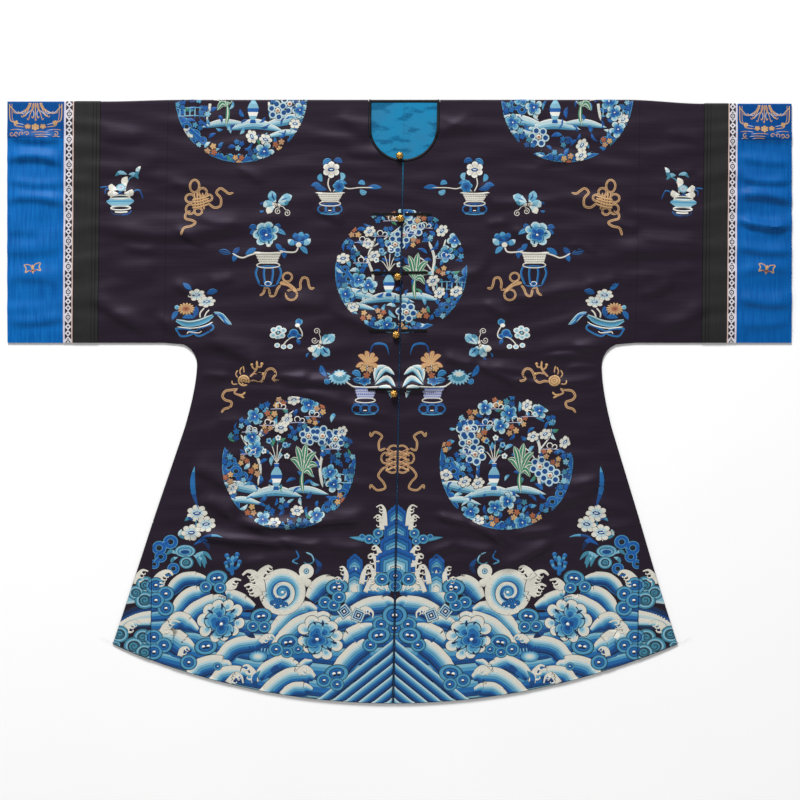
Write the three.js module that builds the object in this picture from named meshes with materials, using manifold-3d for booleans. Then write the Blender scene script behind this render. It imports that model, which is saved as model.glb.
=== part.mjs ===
// A woman's wide-sleeved silk surcoat that opens down the centre front, laid flat with its
// front up. Millimetres: X runs across the coat, Y from hem to shoulder, Z up out of the front.
// The coat is drafted as its pattern is: "across" is measured from the centre line and "drop"
// down from the shoulder fold, and lay() puts a pattern point where it lies on the table.
import * as THREE from 'three';
import { mergeVertices } from 'three/addons/utils/BufferGeometryUtils.js';
import Module from 'manifold-3d';

const wasm = await Module();
wasm.setup();

// Driving dimensions of the coat
const coatLength = 1086;        // shoulder fold to the lowest point of the hem
const sleeveReach = 705;        // centre line to the cuff's end
const sleeveDrop = 437;         // width of the sleeve, shoulder fold to underside
const hemRadius = 1260;         // the hem is an arc about a point on the centre line
const hemCorner = { across: 509, drop: 979, rounding: 10 };
const underarm = { across: 364, radius: 40, flareAcross: 384, flareDrop: 590 };
const neck = { halfWidth: 59, depth: 107, bindingWidth: 5, liningHidden: 9 };

// Seam lines, measured across from the centre line
const sleeveSeam = 424;         // body cloth to sleeve extension
const goreSeam = 438;           // body cloth to the side gore at the hem
const bandSeam = 542.5;         // sleeve to the black cuff band
const ribbonSeam = 587;         // black band to the woven ribbon
const cuffSeam = 605.5;         // ribbon to the blue cuff
const pipingWidth = 1.2;

// Cloth
const wall = 1.2;               // lined and embroidered silk
const seamGap = 0.3;            // left between two pieces that are sewn together
const foldGap = 1.6;            // between front and back at the shoulder fold
const bandRise = 0.8;           // the padded black band stands above the sleeve
const ribbonRise = 0.4;
const puff = 0.9;               // how far the front lifts off the back inside the seams

// Buttons: gilt balls in the loops of black cords that lie flat on both fronts. The first ball
// hangs at the bottom of the neck, on the lining, where the ends of the binding hold it.
const ballRadius = 7;
const barWidth = 5;
const barThickness = 1.8;
const barLift = 8;              // the cords lie this far above the ball's centre
const neckButton = { drop: 101.5, ballAcross: -6.5, aboveLining: 0.9 };
const buttons = [
  { drop: 214, ballAcross: -3.0, leftFrom: -52, leftTo: -1, rightFrom: 4, rightTo: 50 },
  { drop: 319, ballAcross: -6.0, leftFrom: -52, leftTo: -4, rightFrom: 2, rightTo: 46 },
  { drop: 423, ballAcross: -7.0, leftFrom: -54, leftTo: -5, rightFrom: 2, rightTo: 46 },
  { drop: 529, ballAcross: -9.0, leftFrom: -54, leftTo: -7, rightFrom: 1, rightTo: 44 },
];

// The largest folds of the front. Each runs straight from one pattern point to another, bowed
// sideways by "bow" at its middle; "reach" is its half-width and "height" its crest.
const folds = [
  { fromAcross: -545, fromDrop: 225, toAcross: -285, toDrop: 228, bow: 18, reach: 26, height: 3.0 },
  { fromAcross: -550, fromDrop: 362, toAcross: -455, toDrop: 424, bow: 3, reach: 24, height: 3.5 },
  { fromAcross: -358, fromDrop: 428, toAcross: -240, toDrop: 488, bow: 0, reach: 28, height: 4.0 },
  { fromAcross: -362, fromDrop: 500, toAcross: 90, toDrop: 520, bow: 6, reach: 22, height: 3.5 },
  { fromAcross: 385, fromDrop: 280, toAcross: 545, toDrop: 277, bow: 0, reach: 28, height: 2.5 },
  { fromAcross: 455, fromDrop: 422, toAcross: 548, toDrop: 378, bow: 0, reach: 24, height: 3.5 },
  { fromAcross: 368, fromDrop: 508, toAcross: 100, toDrop: 470, bow: 14, reach: 22, height: 3.0 },
  { fromAcross: -345, fromDrop: 722, toAcross: -230, toDrop: 772, bow: 0, reach: 25, height: 4.0 },
  { fromAcross: -360, fromDrop: 792, toAcross: -30, toDrop: 770, bow: 8, reach: 24, height: 4.5 },
  { fromAcross: 70, fromDrop: 756, toAcross: 185, toDrop: 800, bow: 0, reach: 22, height: 4.0 },
  { fromAcross: 184, fromDrop: 850, toAcross: 280, toDrop: 800, bow: 0, reach: 22, height: 4.0 },
  { fromAcross: 255, fromDrop: 740, toAcross: 370, toDrop: 692, bow: 0, reach: 26, height: 3.5 },
];

// Grid that carries every wall of cloth
const columns = 36;
const rows = 27;
const gridReach = sleeveReach + 15;
const gridLength = coatLength + 24;
const foldSteps = 3;

const { smoothstep, clamp } = THREE.MathUtils;

function material(color, roughness, metalness = 0) {
  return new THREE.MeshStandardMaterial({ color, roughness, metalness, side: THREE.DoubleSide });
}

const finishes = {
  satin: () => material(0x2a222d, 0.5),
  blackSatin: () => material(0x24222a, 0.55),
  blueSilk: () => material(0x1a6aac, 0.45),
  ribbon: () => material(0xb49f9c, 0.7),
  lining: () => material(0x3a86a6, 0.55),
  cord: () => material(0x1d1b22, 0.75),
  gilt: () => material(0xb08b45, 0.35, 0.9),
};

// The coat lies a little off square: its hem is swung to the left of its neck, which dies away
// along the sleeves, and the shoulder fold sags towards the cuffs.
function lay(across, drop) {
  const lean = 8.6 - 0.0185 * drop;
  const fade = 1 - smoothstep(Math.abs(across), 430, sleeveReach);
  const sag = (across > 0 ? 7 : 3) * smoothstep(Math.abs(across), 400, 540);
  const kept = clamp(1 - drop / sleeveDrop, 0, 1);
  return [across + lean * fade, coatLength / 2 - drop - sag * kept];
}

// Half-width of the coat below the sleeve at a drop, to its sewn side seam.
function sideAt(drop) {
  if (drop < underarm.flareDrop) {
    const t = clamp((drop - sleeveDrop) / underarm.radius, 0, 1);
    const curve = underarm.across + underarm.radius * (1 - t) ** 2;
    return curve + (underarm.flareAcross - underarm.across)
      * smoothstep(drop, sleeveDrop + underarm.radius, underarm.flareDrop + 60);
  }
  const t = (drop - underarm.flareDrop) / (hemCorner.drop - underarm.flareDrop);
  return underarm.flareAcross + t * (hemCorner.across - underarm.flareAcross);
}

// Distance inwards from the nearest seam that joins front to back.
function inFromSeam(across, drop) {
  if (drop > sleeveDrop) return Math.max(0, sideAt(drop) - Math.abs(across));
  const corner = underarm.across + underarm.radius;
  return Math.hypot(Math.max(0, corner - Math.abs(across)), sleeveDrop - drop);
}

// Height that one fold adds: a rounded crest across it, fading out along its last fifth.
function foldHeight(fold, across, drop) {
  const alongX = fold.toAcross - fold.fromAcross;
  const alongY = fold.toDrop - fold.fromDrop;
  const length = Math.hypot(alongX, alongY);
  const x = across - fold.fromAcross;
  const y = drop - fold.fromDrop;
  const t = (x * alongX + y * alongY) / length ** 2;
  const off = (y * alongX - x * alongY) / length - 4 * fold.bow * t * (1 - t);
  const end = smoothstep(t, -0.1, 0.2) * (1 - smoothstep(t, 0.8, 1.1));
  return fold.height * end * Math.exp(-((off / fold.reach) ** 2));
}

// Under face of the front cloth. It is close to the back at the sewn seams, a fold's width
// above it at the shoulder, and lifted by the puff and the folds between.
function frontUnder(across, drop) {
  const inward = inFromSeam(across, drop);
  const open = 1 - Math.exp(-inward / 25);
  const fromShoulder = smoothstep(drop, 5, 60);
  const broad = 0.5 + 0.5 * Math.sin(across / 83 + 1.3) * Math.cos(drop / 71);
  const lifted = folds.reduce((sum, fold) => sum + foldHeight(fold, across, drop), puff * broad);
  const loose = seamGap + (foldGap - seamGap) * open + lifted * open;
  return wall + foldGap + fromShoulder * (loose - foldGap);
}

const frontTop = (across, drop) => frontUnder(across, drop) + wall;

// Top of the front between the grid's points, on the same two triangles to each cell as the
// cloth itself.
function facetTop(across, drop) {
  const column = (across + gridReach) / (2 * gridReach) * columns;
  const row = (gridLength - drop) / (gridLength - foldStart) * rows;
  const [c, r] = [Math.floor(column), Math.floor(row)];
  const [u, v] = [column - c, row - r];
  const height = (dr, dc) => frontTop(gridAcross[c + dc], gridDrops[r + dr]);
  const diagonal = height(1, 1) - height(0, 0);
  const along = u > v ? [height(0, 1) - height(0, 0), diagonal - height(0, 1) + height(0, 0)]
    : [diagonal - height(1, 0) + height(0, 0), height(1, 0) - height(0, 0)];
  return height(0, 0) + u * along[0] + v * along[1];
}

// A solid from a closed triangle geometry.
function solid(geometry) {
  geometry.deleteAttribute('normal');
  geometry.deleteAttribute('uv');
  const closed = mergeVertices(geometry, 1e-4);
  const mesh = new wasm.Mesh({
    numProp: 3,
    vertProperties: new Float32Array(closed.attributes.position.array),
    triVerts: new Uint32Array(closed.index.array),
  });
  return new wasm.Manifold(mesh);
}

// A closed wall between two faces, each a grid of points of the same rows and columns.
function wallBetween(outer, inner) {
  const rowCount = outer.length;
  const columnCount = outer[0].length;
  const positions = [...outer.flat(), ...inner.flat()].flat();
  const innerStart = rowCount * columnCount;
  const at = (r, c) => r * columnCount + c;
  const index = [];
  const quad = (a, b, c, d) => index.push(a, b, c, a, c, d);
  for (let r = 0; r < rowCount - 1; r++) {
    for (let c = 0; c < columnCount - 1; c++) {
      const [a, b, d, e] = [at(r, c), at(r, c + 1), at(r + 1, c + 1), at(r + 1, c)];
      quad(a, b, d, e);
      quad(innerStart + e, innerStart + d, innerStart + b, innerStart + a);
    }
    const [left, leftNext] = [at(r, 0), at(r + 1, 0)];
    const [right, rightNext] = [at(r, columnCount - 1), at(r + 1, columnCount - 1)];
    quad(left, leftNext, innerStart + leftNext, innerStart + left);
    quad(rightNext, right, innerStart + right, innerStart + rightNext);
  }
  for (let c = 0; c < columnCount - 1; c++) {
    const [first, firstNext] = [at(0, c), at(0, c + 1)];
    const [last, lastNext] = [at(rowCount - 1, c), at(rowCount - 1, c + 1)];
    quad(firstNext, first, innerStart + first, innerStart + firstNext);
    quad(last, lastNext, innerStart + lastNext, innerStart + last);
  }
  const geometry = new THREE.BufferGeometry();
  geometry.setAttribute('position', new THREE.Float32BufferAttribute(positions, 3));
  geometry.setIndex(index);
  return geometry;
}

const gridAcross = Array.from({ length: columns + 1 }, (_, c) => gridReach * (2 * c / columns - 1));

// Rows of the grid from the hem up to the line where the shoulder fold starts to turn.
const foldStart = (2 * wall + foldGap) / 2;
const gridDrops = Array.from({ length: rows + 1 }, (_, r) => gridLength + (foldStart - gridLength) * r / rows);

const place = (across, drop, z) => [...lay(across, drop), z];

// Front cloth only, between two height functions.
function frontWall(under, top) {
  const face = (height) => [...gridDrops, -foldStart].map((d) => gridAcross.map((a) => place(a, d, height(a, d))));
  return solid(wallBetween(face(top), face(under)));
}

// Cloth that runs up the front, over the shoulder fold and down the back, which is flat on the
// table. A rise makes its front stand above the plain cloth.
function foldedWall(rise) {
  const topHeight = 2 * wall + foldGap + rise;
  const bend = topHeight / 2;
  const outer = [];
  const inner = [];
  for (const drop of gridDrops) {
    outer.push(gridAcross.map((a) => place(a, drop, frontTop(a, drop) + rise)));
    inner.push(gridAcross.map((a) => place(a, drop, frontUnder(a, drop))));
  }
  for (let step = 1; step <= foldSteps; step++) {
    const angle = Math.PI * (0.5 - step / (foldSteps + 1));
    const [up, out] = [Math.sin(angle), Math.cos(angle)];
    outer.push(gridAcross.map((a) => place(a, foldStart * (1 - out), bend * (1 + up))));
    inner.push(gridAcross.map((a) => place(a, foldStart - out * foldGap / 2, foldStart + up * foldGap / 2)));
  }
  for (const drop of [foldStart, gridLength]) {
    outer.push(gridAcross.map((a) => place(a, drop, 0)));
    inner.push(gridAcross.map((a) => place(a, drop, wall)));
  }
  return solid(wallBetween(outer, inner));
}

// A straight-sided cutter over a pattern outline, given as [across, drop] points.
function cutter(outline, bottom = -10, top = 60) {
  const shape = new THREE.Shape(outline.map(([a, d]) => new THREE.Vector2(...lay(a, d))));
  const geometry = new THREE.ExtrudeGeometry(shape, { depth: top - bottom, bevelEnabled: false });
  return solid(geometry.translate(0, 0, bottom));
}

// A cutter over everything between two lines across and two drops, on one side of the coat.
function strip(side, from, to, dropFrom = -20, dropTo = gridLength, bottom = -10, top = 60) {
  const corners = [[from, dropFrom], [to, dropFrom], [to, dropTo], [from, dropTo]];
  return cutter(corners.map(([a, d]) => [side * a, d]), bottom, top);
}

// The outline of half the coat, front and back alike.
function halfOutline(side) {
  const shape = new THREE.Shape();
  const armpit = underarm.across + underarm.radius;
  const hemRise = hemRadius - coatLength;
  const cornerAngle = Math.acos(hemCorner.across / hemRadius);
  const roundingAngle = hemCorner.rounding / hemRadius;
  const flare = new THREE.Vector2(hemCorner.across - underarm.flareAcross, hemCorner.drop - underarm.flareDrop);
  flare.setLength(hemCorner.rounding);
  shape.moveTo(-5, -20);
  shape.lineTo(sleeveReach, -20);
  shape.lineTo(sleeveReach, sleeveDrop);
  shape.lineTo(armpit, sleeveDrop);
  shape.absarc(armpit, sleeveDrop + underarm.radius, underarm.radius, -Math.PI / 2, Math.PI, true);
  shape.quadraticCurveTo(underarm.across, sleeveDrop + 2 * underarm.radius, underarm.flareAcross, underarm.flareDrop);
  shape.lineTo(hemCorner.across - flare.x, hemCorner.drop - flare.y);
  shape.quadraticCurveTo(hemCorner.across, hemCorner.drop,
    hemRadius * Math.cos(cornerAngle + roundingAngle), hemRadius * Math.sin(cornerAngle + roundingAngle) - hemRise);
  shape.absarc(0, -hemRise, hemRadius, cornerAngle + roundingAngle, Math.PI / 2, false);
  shape.lineTo(-5, coatLength);
  const points = shape.getPoints(12).map((p) => [side * p.x, p.y]);
  return cutter(points);
}

// The neck opening widened by a margin: straight sides and a half-round bottom.
function neckOutline(margin, dropFrom = -20) {
  const radius = neck.halfWidth + margin;
  const centre = neck.depth - neck.halfWidth;
  const points = [[-radius, dropFrom]];
  for (let step = 0; step <= 20; step++) {
    const angle = Math.PI * (1 - step / 20);
    points.push([radius * Math.cos(angle), centre + radius * Math.sin(angle)]);
  }
  points.push([radius, dropFrom]);
  return points;
}

const group = new THREE.Group();

function add(name, manifold, finish) {
  const { vertProperties, triVerts, numProp } = manifold.getMesh();
  const geometry = new THREE.BufferGeometry();
  const positions = new Float32Array(vertProperties.length / numProp * 3);
  for (let v = 0; v < positions.length / 3; v++) {
    positions.set(vertProperties.subarray(v * numProp, v * numProp + 3), v * 3);
  }
  geometry.setAttribute('position', new THREE.BufferAttribute(positions, 3));
  geometry.setIndex(new THREE.BufferAttribute(new Uint32Array(triVerts), 1));
  geometry.computeVertexNormals();
  const mesh = new THREE.Mesh(geometry, finish());
  mesh.name = name;
  group.add(mesh);
}

const sides = { left: -1, right: 1 };
const half = seamGap / 2;
const plainCloth = foldedWall(0);
const bandCloth = foldedWall(bandRise);
const ribbonCloth = foldedWall(ribbonRise);
const frontCloth = frontWall(frontUnder, frontTop);
const coatHalf = { left: halfOutline(-1), right: halfOutline(1) };
const barTopOfBack = wall + seamGap / 2;
const bindingEdge = neck.bindingWidth + seamGap;
const backNeckDrop = neck.bindingWidth - 0.5;

// Body: one width of satin on each side of the centre, running from the front hem over the
// shoulder to the back hem. The fronts stop at the piping, the backs meet at the centre seam.
for (const [name, side] of Object.entries(sides)) {
  const upper = strip(side, half, sleeveSeam - half, -20, sleeveDrop + 20);
  const lower = strip(side, half, goreSeam - half, sleeveDrop + 20 - half);
  const opening = strip(side, -10, half + pipingWidth + seamGap, 0, gridLength, barTopOfBack);
  const neckFront = cutter(neckOutline(bindingEdge), barTopOfBack);
  const neckBack = strip(1, -neck.halfWidth - bindingEdge, neck.halfWidth + bindingEdge, -20, backNeckDrop + seamGap);
  const body = plainCloth.intersect(coatHalf[name]).intersect(upper.add(lower))
    .subtract(opening).subtract(neckFront).subtract(neckBack);
  add(`body_${name}`, body, finishes.satin);
}

// Side gores: small triangles that widen the hem, cut separately for front and back.
for (const [name, side] of Object.entries(sides)) {
  const outline = coatHalf[name].intersect(strip(side, goreSeam + half, gridReach - 5, sleeveDrop + 20));
  add(`gore_front_${name}`, plainCloth.intersect(outline).intersect(strip(side, 0, gridReach, 0, gridLength, barTopOfBack)), finishes.satin);
  add(`gore_back_${name}`, plainCloth.intersect(outline).subtract(strip(side, 0, gridReach, 0, gridLength, barTopOfBack)), finishes.satin);
}

// Sleeves and their ends: extension, black band, woven ribbon and blue cuff, each a strip that
// goes over the shoulder fold and is closed along the underside.
const sleevePieces = [
  { name: 'sleeve', from: sleeveSeam, to: bandSeam, cloth: plainCloth, finish: finishes.satin },
  { name: 'black_band', from: bandSeam, to: ribbonSeam, cloth: bandCloth, finish: finishes.blackSatin },
  { name: 'ribbon', from: ribbonSeam, to: cuffSeam, cloth: ribbonCloth, finish: finishes.ribbon },
  { name: 'cuff', from: cuffSeam, to: gridReach, cloth: plainCloth, finish: finishes.blueSilk },
];
for (const [name, side] of Object.entries(sides)) {
  for (const piece of sleevePieces) {
    const width = strip(side, piece.from + half, piece.to - half, -20, sleeveDrop + 10);
    add(`${piece.name}_${name}`, piece.cloth.intersect(coatHalf[name]).intersect(width), piece.finish);
  }
}

// Lining: the part of the back's silk lining that shows through the neck.
const liningFloor = wall + seamGap;
const liningTop = wall + foldGap - seamGap;
add('neck_lining', cutter(neckOutline(neck.liningHidden, backNeckDrop + seamGap), liningFloor, liningTop), finishes.lining);

// Neck binding: a narrow black bias strip round the front of the neck, whose ends meet at the
// centre, and straight across the back of the neck at the shoulder fold.
const bindingRise = 0.6;
const bindingCloth = frontWall(frontUnder, (a, d) => frontTop(a, d) + bindingRise);
const ring = cutter(neckOutline(neck.bindingWidth, 0.5)).subtract(cutter(neckOutline(0)));
const backBinding = cutter([[-1, 0.5], [1, 0.5], [1, backNeckDrop], [-1, backNeckDrop]]
  .map(([a, d]) => [a * (neck.halfWidth + neck.bindingWidth), d]), 0, 2 * wall + foldGap + bindingRise);
const centreSplit = strip(1, -half, half, neck.depth - 20, neck.depth + 20);
add('neck_binding', bindingCloth.intersect(ring).subtract(centreSplit).add(backBinding), finishes.blackSatin);

// Edge piping: the lining silk turned out along both edges of the front opening.
for (const [name, side] of Object.entries(sides)) {
  const top = neck.depth + bindingEdge;
  add(`edge_piping_${name}`, frontCloth.intersect(strip(side, half, half + pipingWidth, top, coatLength - 0.2)), finishes.lining);
}

// Buttons: on both fronts a flat black cord lies across, and a gilt ball sits in its loop.
const barUnder = (a, d) => frontTop(a, d) + seamGap;
const barCloth = frontWall(barUnder, (a, d) => barUnder(a, d) + barThickness);
function barOutline(from, to, drop) {
  const radius = barWidth / 2;
  const points = [];
  for (let step = 0; step <= 6; step++) {
    const angle = Math.PI * (step / 6 - 0.5);
    points.push([to - radius + radius * Math.cos(angle), drop + radius * Math.sin(angle)]);
  }
  for (let step = 0; step <= 6; step++) {
    const angle = Math.PI * (step / 6 + 0.5);
    points.push([from + radius + radius * Math.cos(angle), drop + radius * Math.sin(angle)]);
  }
  return points;
}
function ball(name, { ballAcross, drop }, seat) {
  const sphere = new THREE.IcosahedronGeometry(ballRadius, 2);
  add(name, solid(sphere.translate(...lay(ballAcross, drop), seat + ballRadius)), finishes.gilt);
}
ball('button_1', neckButton, liningTop + neckButton.aboveLining);
buttons.forEach((button, i) => {
  const barDrop = button.drop - barLift;
  const bar = (from, to) => barCloth.intersect(cutter(barOutline(from, to, barDrop)));
  add(`bar_left_${i + 2}`, bar(button.leftFrom, button.leftTo), finishes.cord);
  add(`bar_right_${i + 2}`, bar(button.rightFrom, button.rightTo), finishes.cord);
  ball(`button_${i + 2}`, button, facetTop(button.ballAcross, button.drop) + seamGap);
});

export default group;
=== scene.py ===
"""A woman's wide-sleeved silk surcoat, laid flat with its front up and dressed around its frame.

Lengths are millimetres on the coat's own pattern: "across" runs from the centre line and "drop"
down the front from the shoulder fold, and a negative drop runs down the back. Meshes are metres.
"""
import math

import bpy
import numpy as np
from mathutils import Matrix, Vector


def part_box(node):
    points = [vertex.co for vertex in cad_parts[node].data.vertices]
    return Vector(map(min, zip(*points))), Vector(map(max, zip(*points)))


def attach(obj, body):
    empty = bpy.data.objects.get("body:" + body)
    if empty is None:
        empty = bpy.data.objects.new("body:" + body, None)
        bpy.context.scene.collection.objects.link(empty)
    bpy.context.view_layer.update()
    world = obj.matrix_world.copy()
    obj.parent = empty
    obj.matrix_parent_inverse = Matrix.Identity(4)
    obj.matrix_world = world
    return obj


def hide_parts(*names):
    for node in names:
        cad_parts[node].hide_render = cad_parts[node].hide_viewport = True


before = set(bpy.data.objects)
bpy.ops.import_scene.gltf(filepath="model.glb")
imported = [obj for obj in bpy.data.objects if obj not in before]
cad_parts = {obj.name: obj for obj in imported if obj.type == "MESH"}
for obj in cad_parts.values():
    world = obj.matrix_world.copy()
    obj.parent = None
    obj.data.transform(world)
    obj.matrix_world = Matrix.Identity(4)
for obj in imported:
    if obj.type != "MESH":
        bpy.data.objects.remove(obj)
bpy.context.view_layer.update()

# ---------------------------------------------------------------------------------------------
# The table. A pale matt board under a broad, soft light from the coat's shoulder side, which
# rakes over the creases; the camera hangs straight above the middle of the coat.
CAMERA_HEIGHT = 3.4
LENS = 85.0

camera = bpy.data.objects.new("camera", bpy.data.cameras.new("camera"))
camera.data.lens = LENS
camera.data.sensor_width = 36.0
camera.location = (0.0009, 0.003, CAMERA_HEIGHT)
bpy.context.collection.objects.link(camera)
bpy.context.scene.camera = camera


def area_light(name, place, aim, size, power):
    """A square soft light of a size in metres at a place, turned to face a point."""
    lamp = bpy.data.lights.new(name, "AREA")
    lamp.size = size
    lamp.energy = power
    holder = bpy.data.objects.new(name, lamp)
    holder.location = place
    holder.rotation_euler = (Vector(aim) - Vector(place)).to_track_quat("-Z", "Y").to_euler()
    bpy.context.collection.objects.link(holder)


area_light("shoulder_light", (-1.0, 6.2, 4.3), (0.0, 0.0, 0.0), 2.2, 700.0)
area_light("hem_light", (0.9, -2.8, 2.4), (0.0, -0.1, 0.0), 2.4, 22.0)
area_light("side_light", (-2.8, 0.2, 2.0), (0.0, 0.0, 0.0), 1.8, 10.0)

world = bpy.data.worlds.new("studio")
world.use_nodes = True
world.node_tree.nodes["Background"].inputs["Color"].default_value = (1.0, 1.0, 1.0, 1.0)
world.node_tree.nodes["Background"].inputs["Strength"].default_value = 0.29
bpy.context.scene.world = world
bpy.context.scene.view_settings.view_transform = "Standard"


def linear(red, green, blue):
    """A colour given as 0 to 255 on a screen, as the linear numbers that a shader takes."""
    screen = np.array([red, green, blue]) / 255
    return np.where(screen <= 0.04045, screen / 12.92, ((screen + 0.055) / 1.055) ** 2.4)


class Value:
    """A number inside a material. Arithmetic on it adds the Math node that works it out."""

    def __init__(self, finish, socket):
        self.finish = finish
        self.socket = socket

    def maths(self, operation, *values):
        return self.finish.add("ShaderNodeMath", {"operation": operation}, dict(enumerate(values)))

    def __add__(self, other):
        return self.maths("ADD", self, other)

    def __sub__(self, other):
        return self.maths("SUBTRACT", self, other)

    def __mul__(self, other):
        return self.maths("MULTIPLY", self, other)

    def __truediv__(self, other):
        return self.maths("DIVIDE", self, other)

    def __lt__(self, other):
        return self.maths("LESS_THAN", self, other)

    def __gt__(self, other):
        return self.maths("GREATER_THAN", self, other)

    __radd__ = __add__
    __rmul__ = __mul__

    def most(self, other):
        return self.maths("MAXIMUM", self, other)

    def one(self, operation):
        return self.maths(operation, self)


class Finish:
    """A material made of nodes round one Principled shader, whose constants are set on it."""

    def __init__(self, name, **constants):
        self.material = bpy.data.materials.new(name)
        self.material.use_nodes = True
        self.tree = self.material.node_tree
        self.shader = self.tree.nodes["Principled BSDF"]
        for socket, value in constants.items():
            self.shader.inputs[socket.replace("_", " ")].default_value = value

    def add(self, kind, settings=None, inputs=None, output=0):
        """Adds one node: its settings first, with a ramp's stops, then its sockets' values."""
        node = self.tree.nodes.new(kind)
        for key, value in (settings or {}).items():
            if key == "stops":
                self.ramp(node.color_ramp, value)
            else:
                setattr(node, key, value)
        for key, value in (inputs or {}).items():
            if isinstance(value, Value):
                self.tree.links.new(value.socket, node.inputs[key])
            else:
                node.inputs[key].default_value = value
        return Value(self, node.outputs[output])

    def ramp(self, ramp, stops):
        while len(ramp.elements) < len(stops):
            ramp.elements.new(0.5)
        for element, (position, colour) in zip(ramp.elements, stops):
            element.position = position
            element.color = (*colour, 1.0)

    def mix(self, factor, first, second, blend="MIX"):
        """Two colours mixed by a factor; 6 and 7 are the Mix node's colour sockets."""
        colours = [c if isinstance(c, Value) else (*c, 1.0) for c in (first, second)]
        settings = {"data_type": "RGBA", "blend_type": blend}
        return self.add("ShaderNodeMix", settings, {0: factor, 6: colours[0], 7: colours[1]}, 2)

    def noise(self, vector, scale, detail=2.0):
        return self.add("ShaderNodeTexNoise", {}, {"Vector": vector, "Scale": scale, "Detail": detail})

    def stretched(self, vector, scale):
        return self.add("ShaderNodeMapping", {}, {"Vector": vector, "Scale": scale})

    def place(self):
        return self.add("ShaderNodeTexCoord", output=3)

    def uv(self, name):
        return self.add("ShaderNodeUVMap", {"uv_map": name})

    def parts(self, vector):
        """The first two numbers of a vector."""
        split = self.add("ShaderNodeSeparateXYZ", {}, {0: vector})
        return split, Value(self, split.socket.node.outputs[1])

    def feed(self, socket, value):
        self.tree.links.new(value.socket, self.shader.inputs[socket])

    def relief(self, height, distance, strength):
        inputs = {"Strength": strength, "Distance": distance, "Height": height}
        self.feed("Normal", self.add("ShaderNodeBump", {}, inputs))


board = bpy.data.meshes.new("table")
board.from_pydata([(-6, -6, -0.0004), (6, -6, -0.0004), (6, 6, -0.0004), (-6, 6, -0.0004)], [],
                  [(0, 1, 2, 3)])
table = bpy.data.objects.new("table", board)
bpy.context.collection.objects.link(table)
pale = Finish("table_board", Roughness=0.95, Specular_IOR_Level=0.1)
grain = pale.noise(pale.place(), 3.0)
pale.feed("Base Color", pale.mix(grain, linear(246, 246, 246), linear(250, 250, 250)))
board.materials.append(pale.material)

# ---------------------------------------------------------------------------------------------
# The body. Two loom widths of dark aubergine satin, one for each side, that run from the front
# hem over the shoulder fold to the back hem and are sewn together down the middle of the back.
# Satin, lining and embroidery make a soft wall that lies on itself in low, uneven creases.
HALF_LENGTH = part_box("body_left")[1][1] * 1000
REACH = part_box("cuff_right")[1][0] * 1000
COAT_LENGTH = 2 * HALF_LENGTH
SLEEVE_DROP = HALF_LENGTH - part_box("cuff_left")[0][1] * 1000
HEM_RADIUS = 1260.0
HEM_CORNER = (509.0, 979.0)
ARMPIT = {"across": 364.0, "radius": 40.0, "flare_across": 384.0, "flare_drop": 590.0}
SLEEVE_SEAM = 424.0
GORE_SEAM = 438.0
SEAM = 0.15             # half the gap left between two sewn pieces
NECK_HALF = 59.0
NECK_DEPTH = 107.0
BINDING = 5.0
WALL = 1.2
SHELL = 1.0             # thickness of the cloth that is drawn
FOLD_GAP = 1.6          # between front and back at the shoulder fold
SHOULDER_TOP = 2 * WALL + FOLD_GAP
FOLD_START = 2.0        # drop at which the shoulder fold starts to turn
BACK_CREASE = 0.12      # the back's creases are this share of the front's, pressed by the table
BACK_CLEAR = 0.64       # the back's ground stands this far off the table, on its embroidery
LEAN = 8.6              # how far the fold at the neck lies to the right of the coat's middle
LEAN_SLOPE = 0.0185     # how far the centre line swings to the left for each millimetre of drop
EASE = 25.0             # distance in from a sewn edge over which the cloth comes loose
ROLL = (5.0, 45.0)      # drops between which the shoulder fold's roundness dies out
HEM_STIFF = 840.0       # drop below which the dense stitching of the hem holds the cloth flat
PEAK_STIFF = 705.0      # the same beside the centre line, where the peak is worked
CELL = 5.6              # mesh size of the front; the back is twice as coarse
SHARP = 1.2             # edges that turn by more than this, in radians, stay crisp

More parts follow.
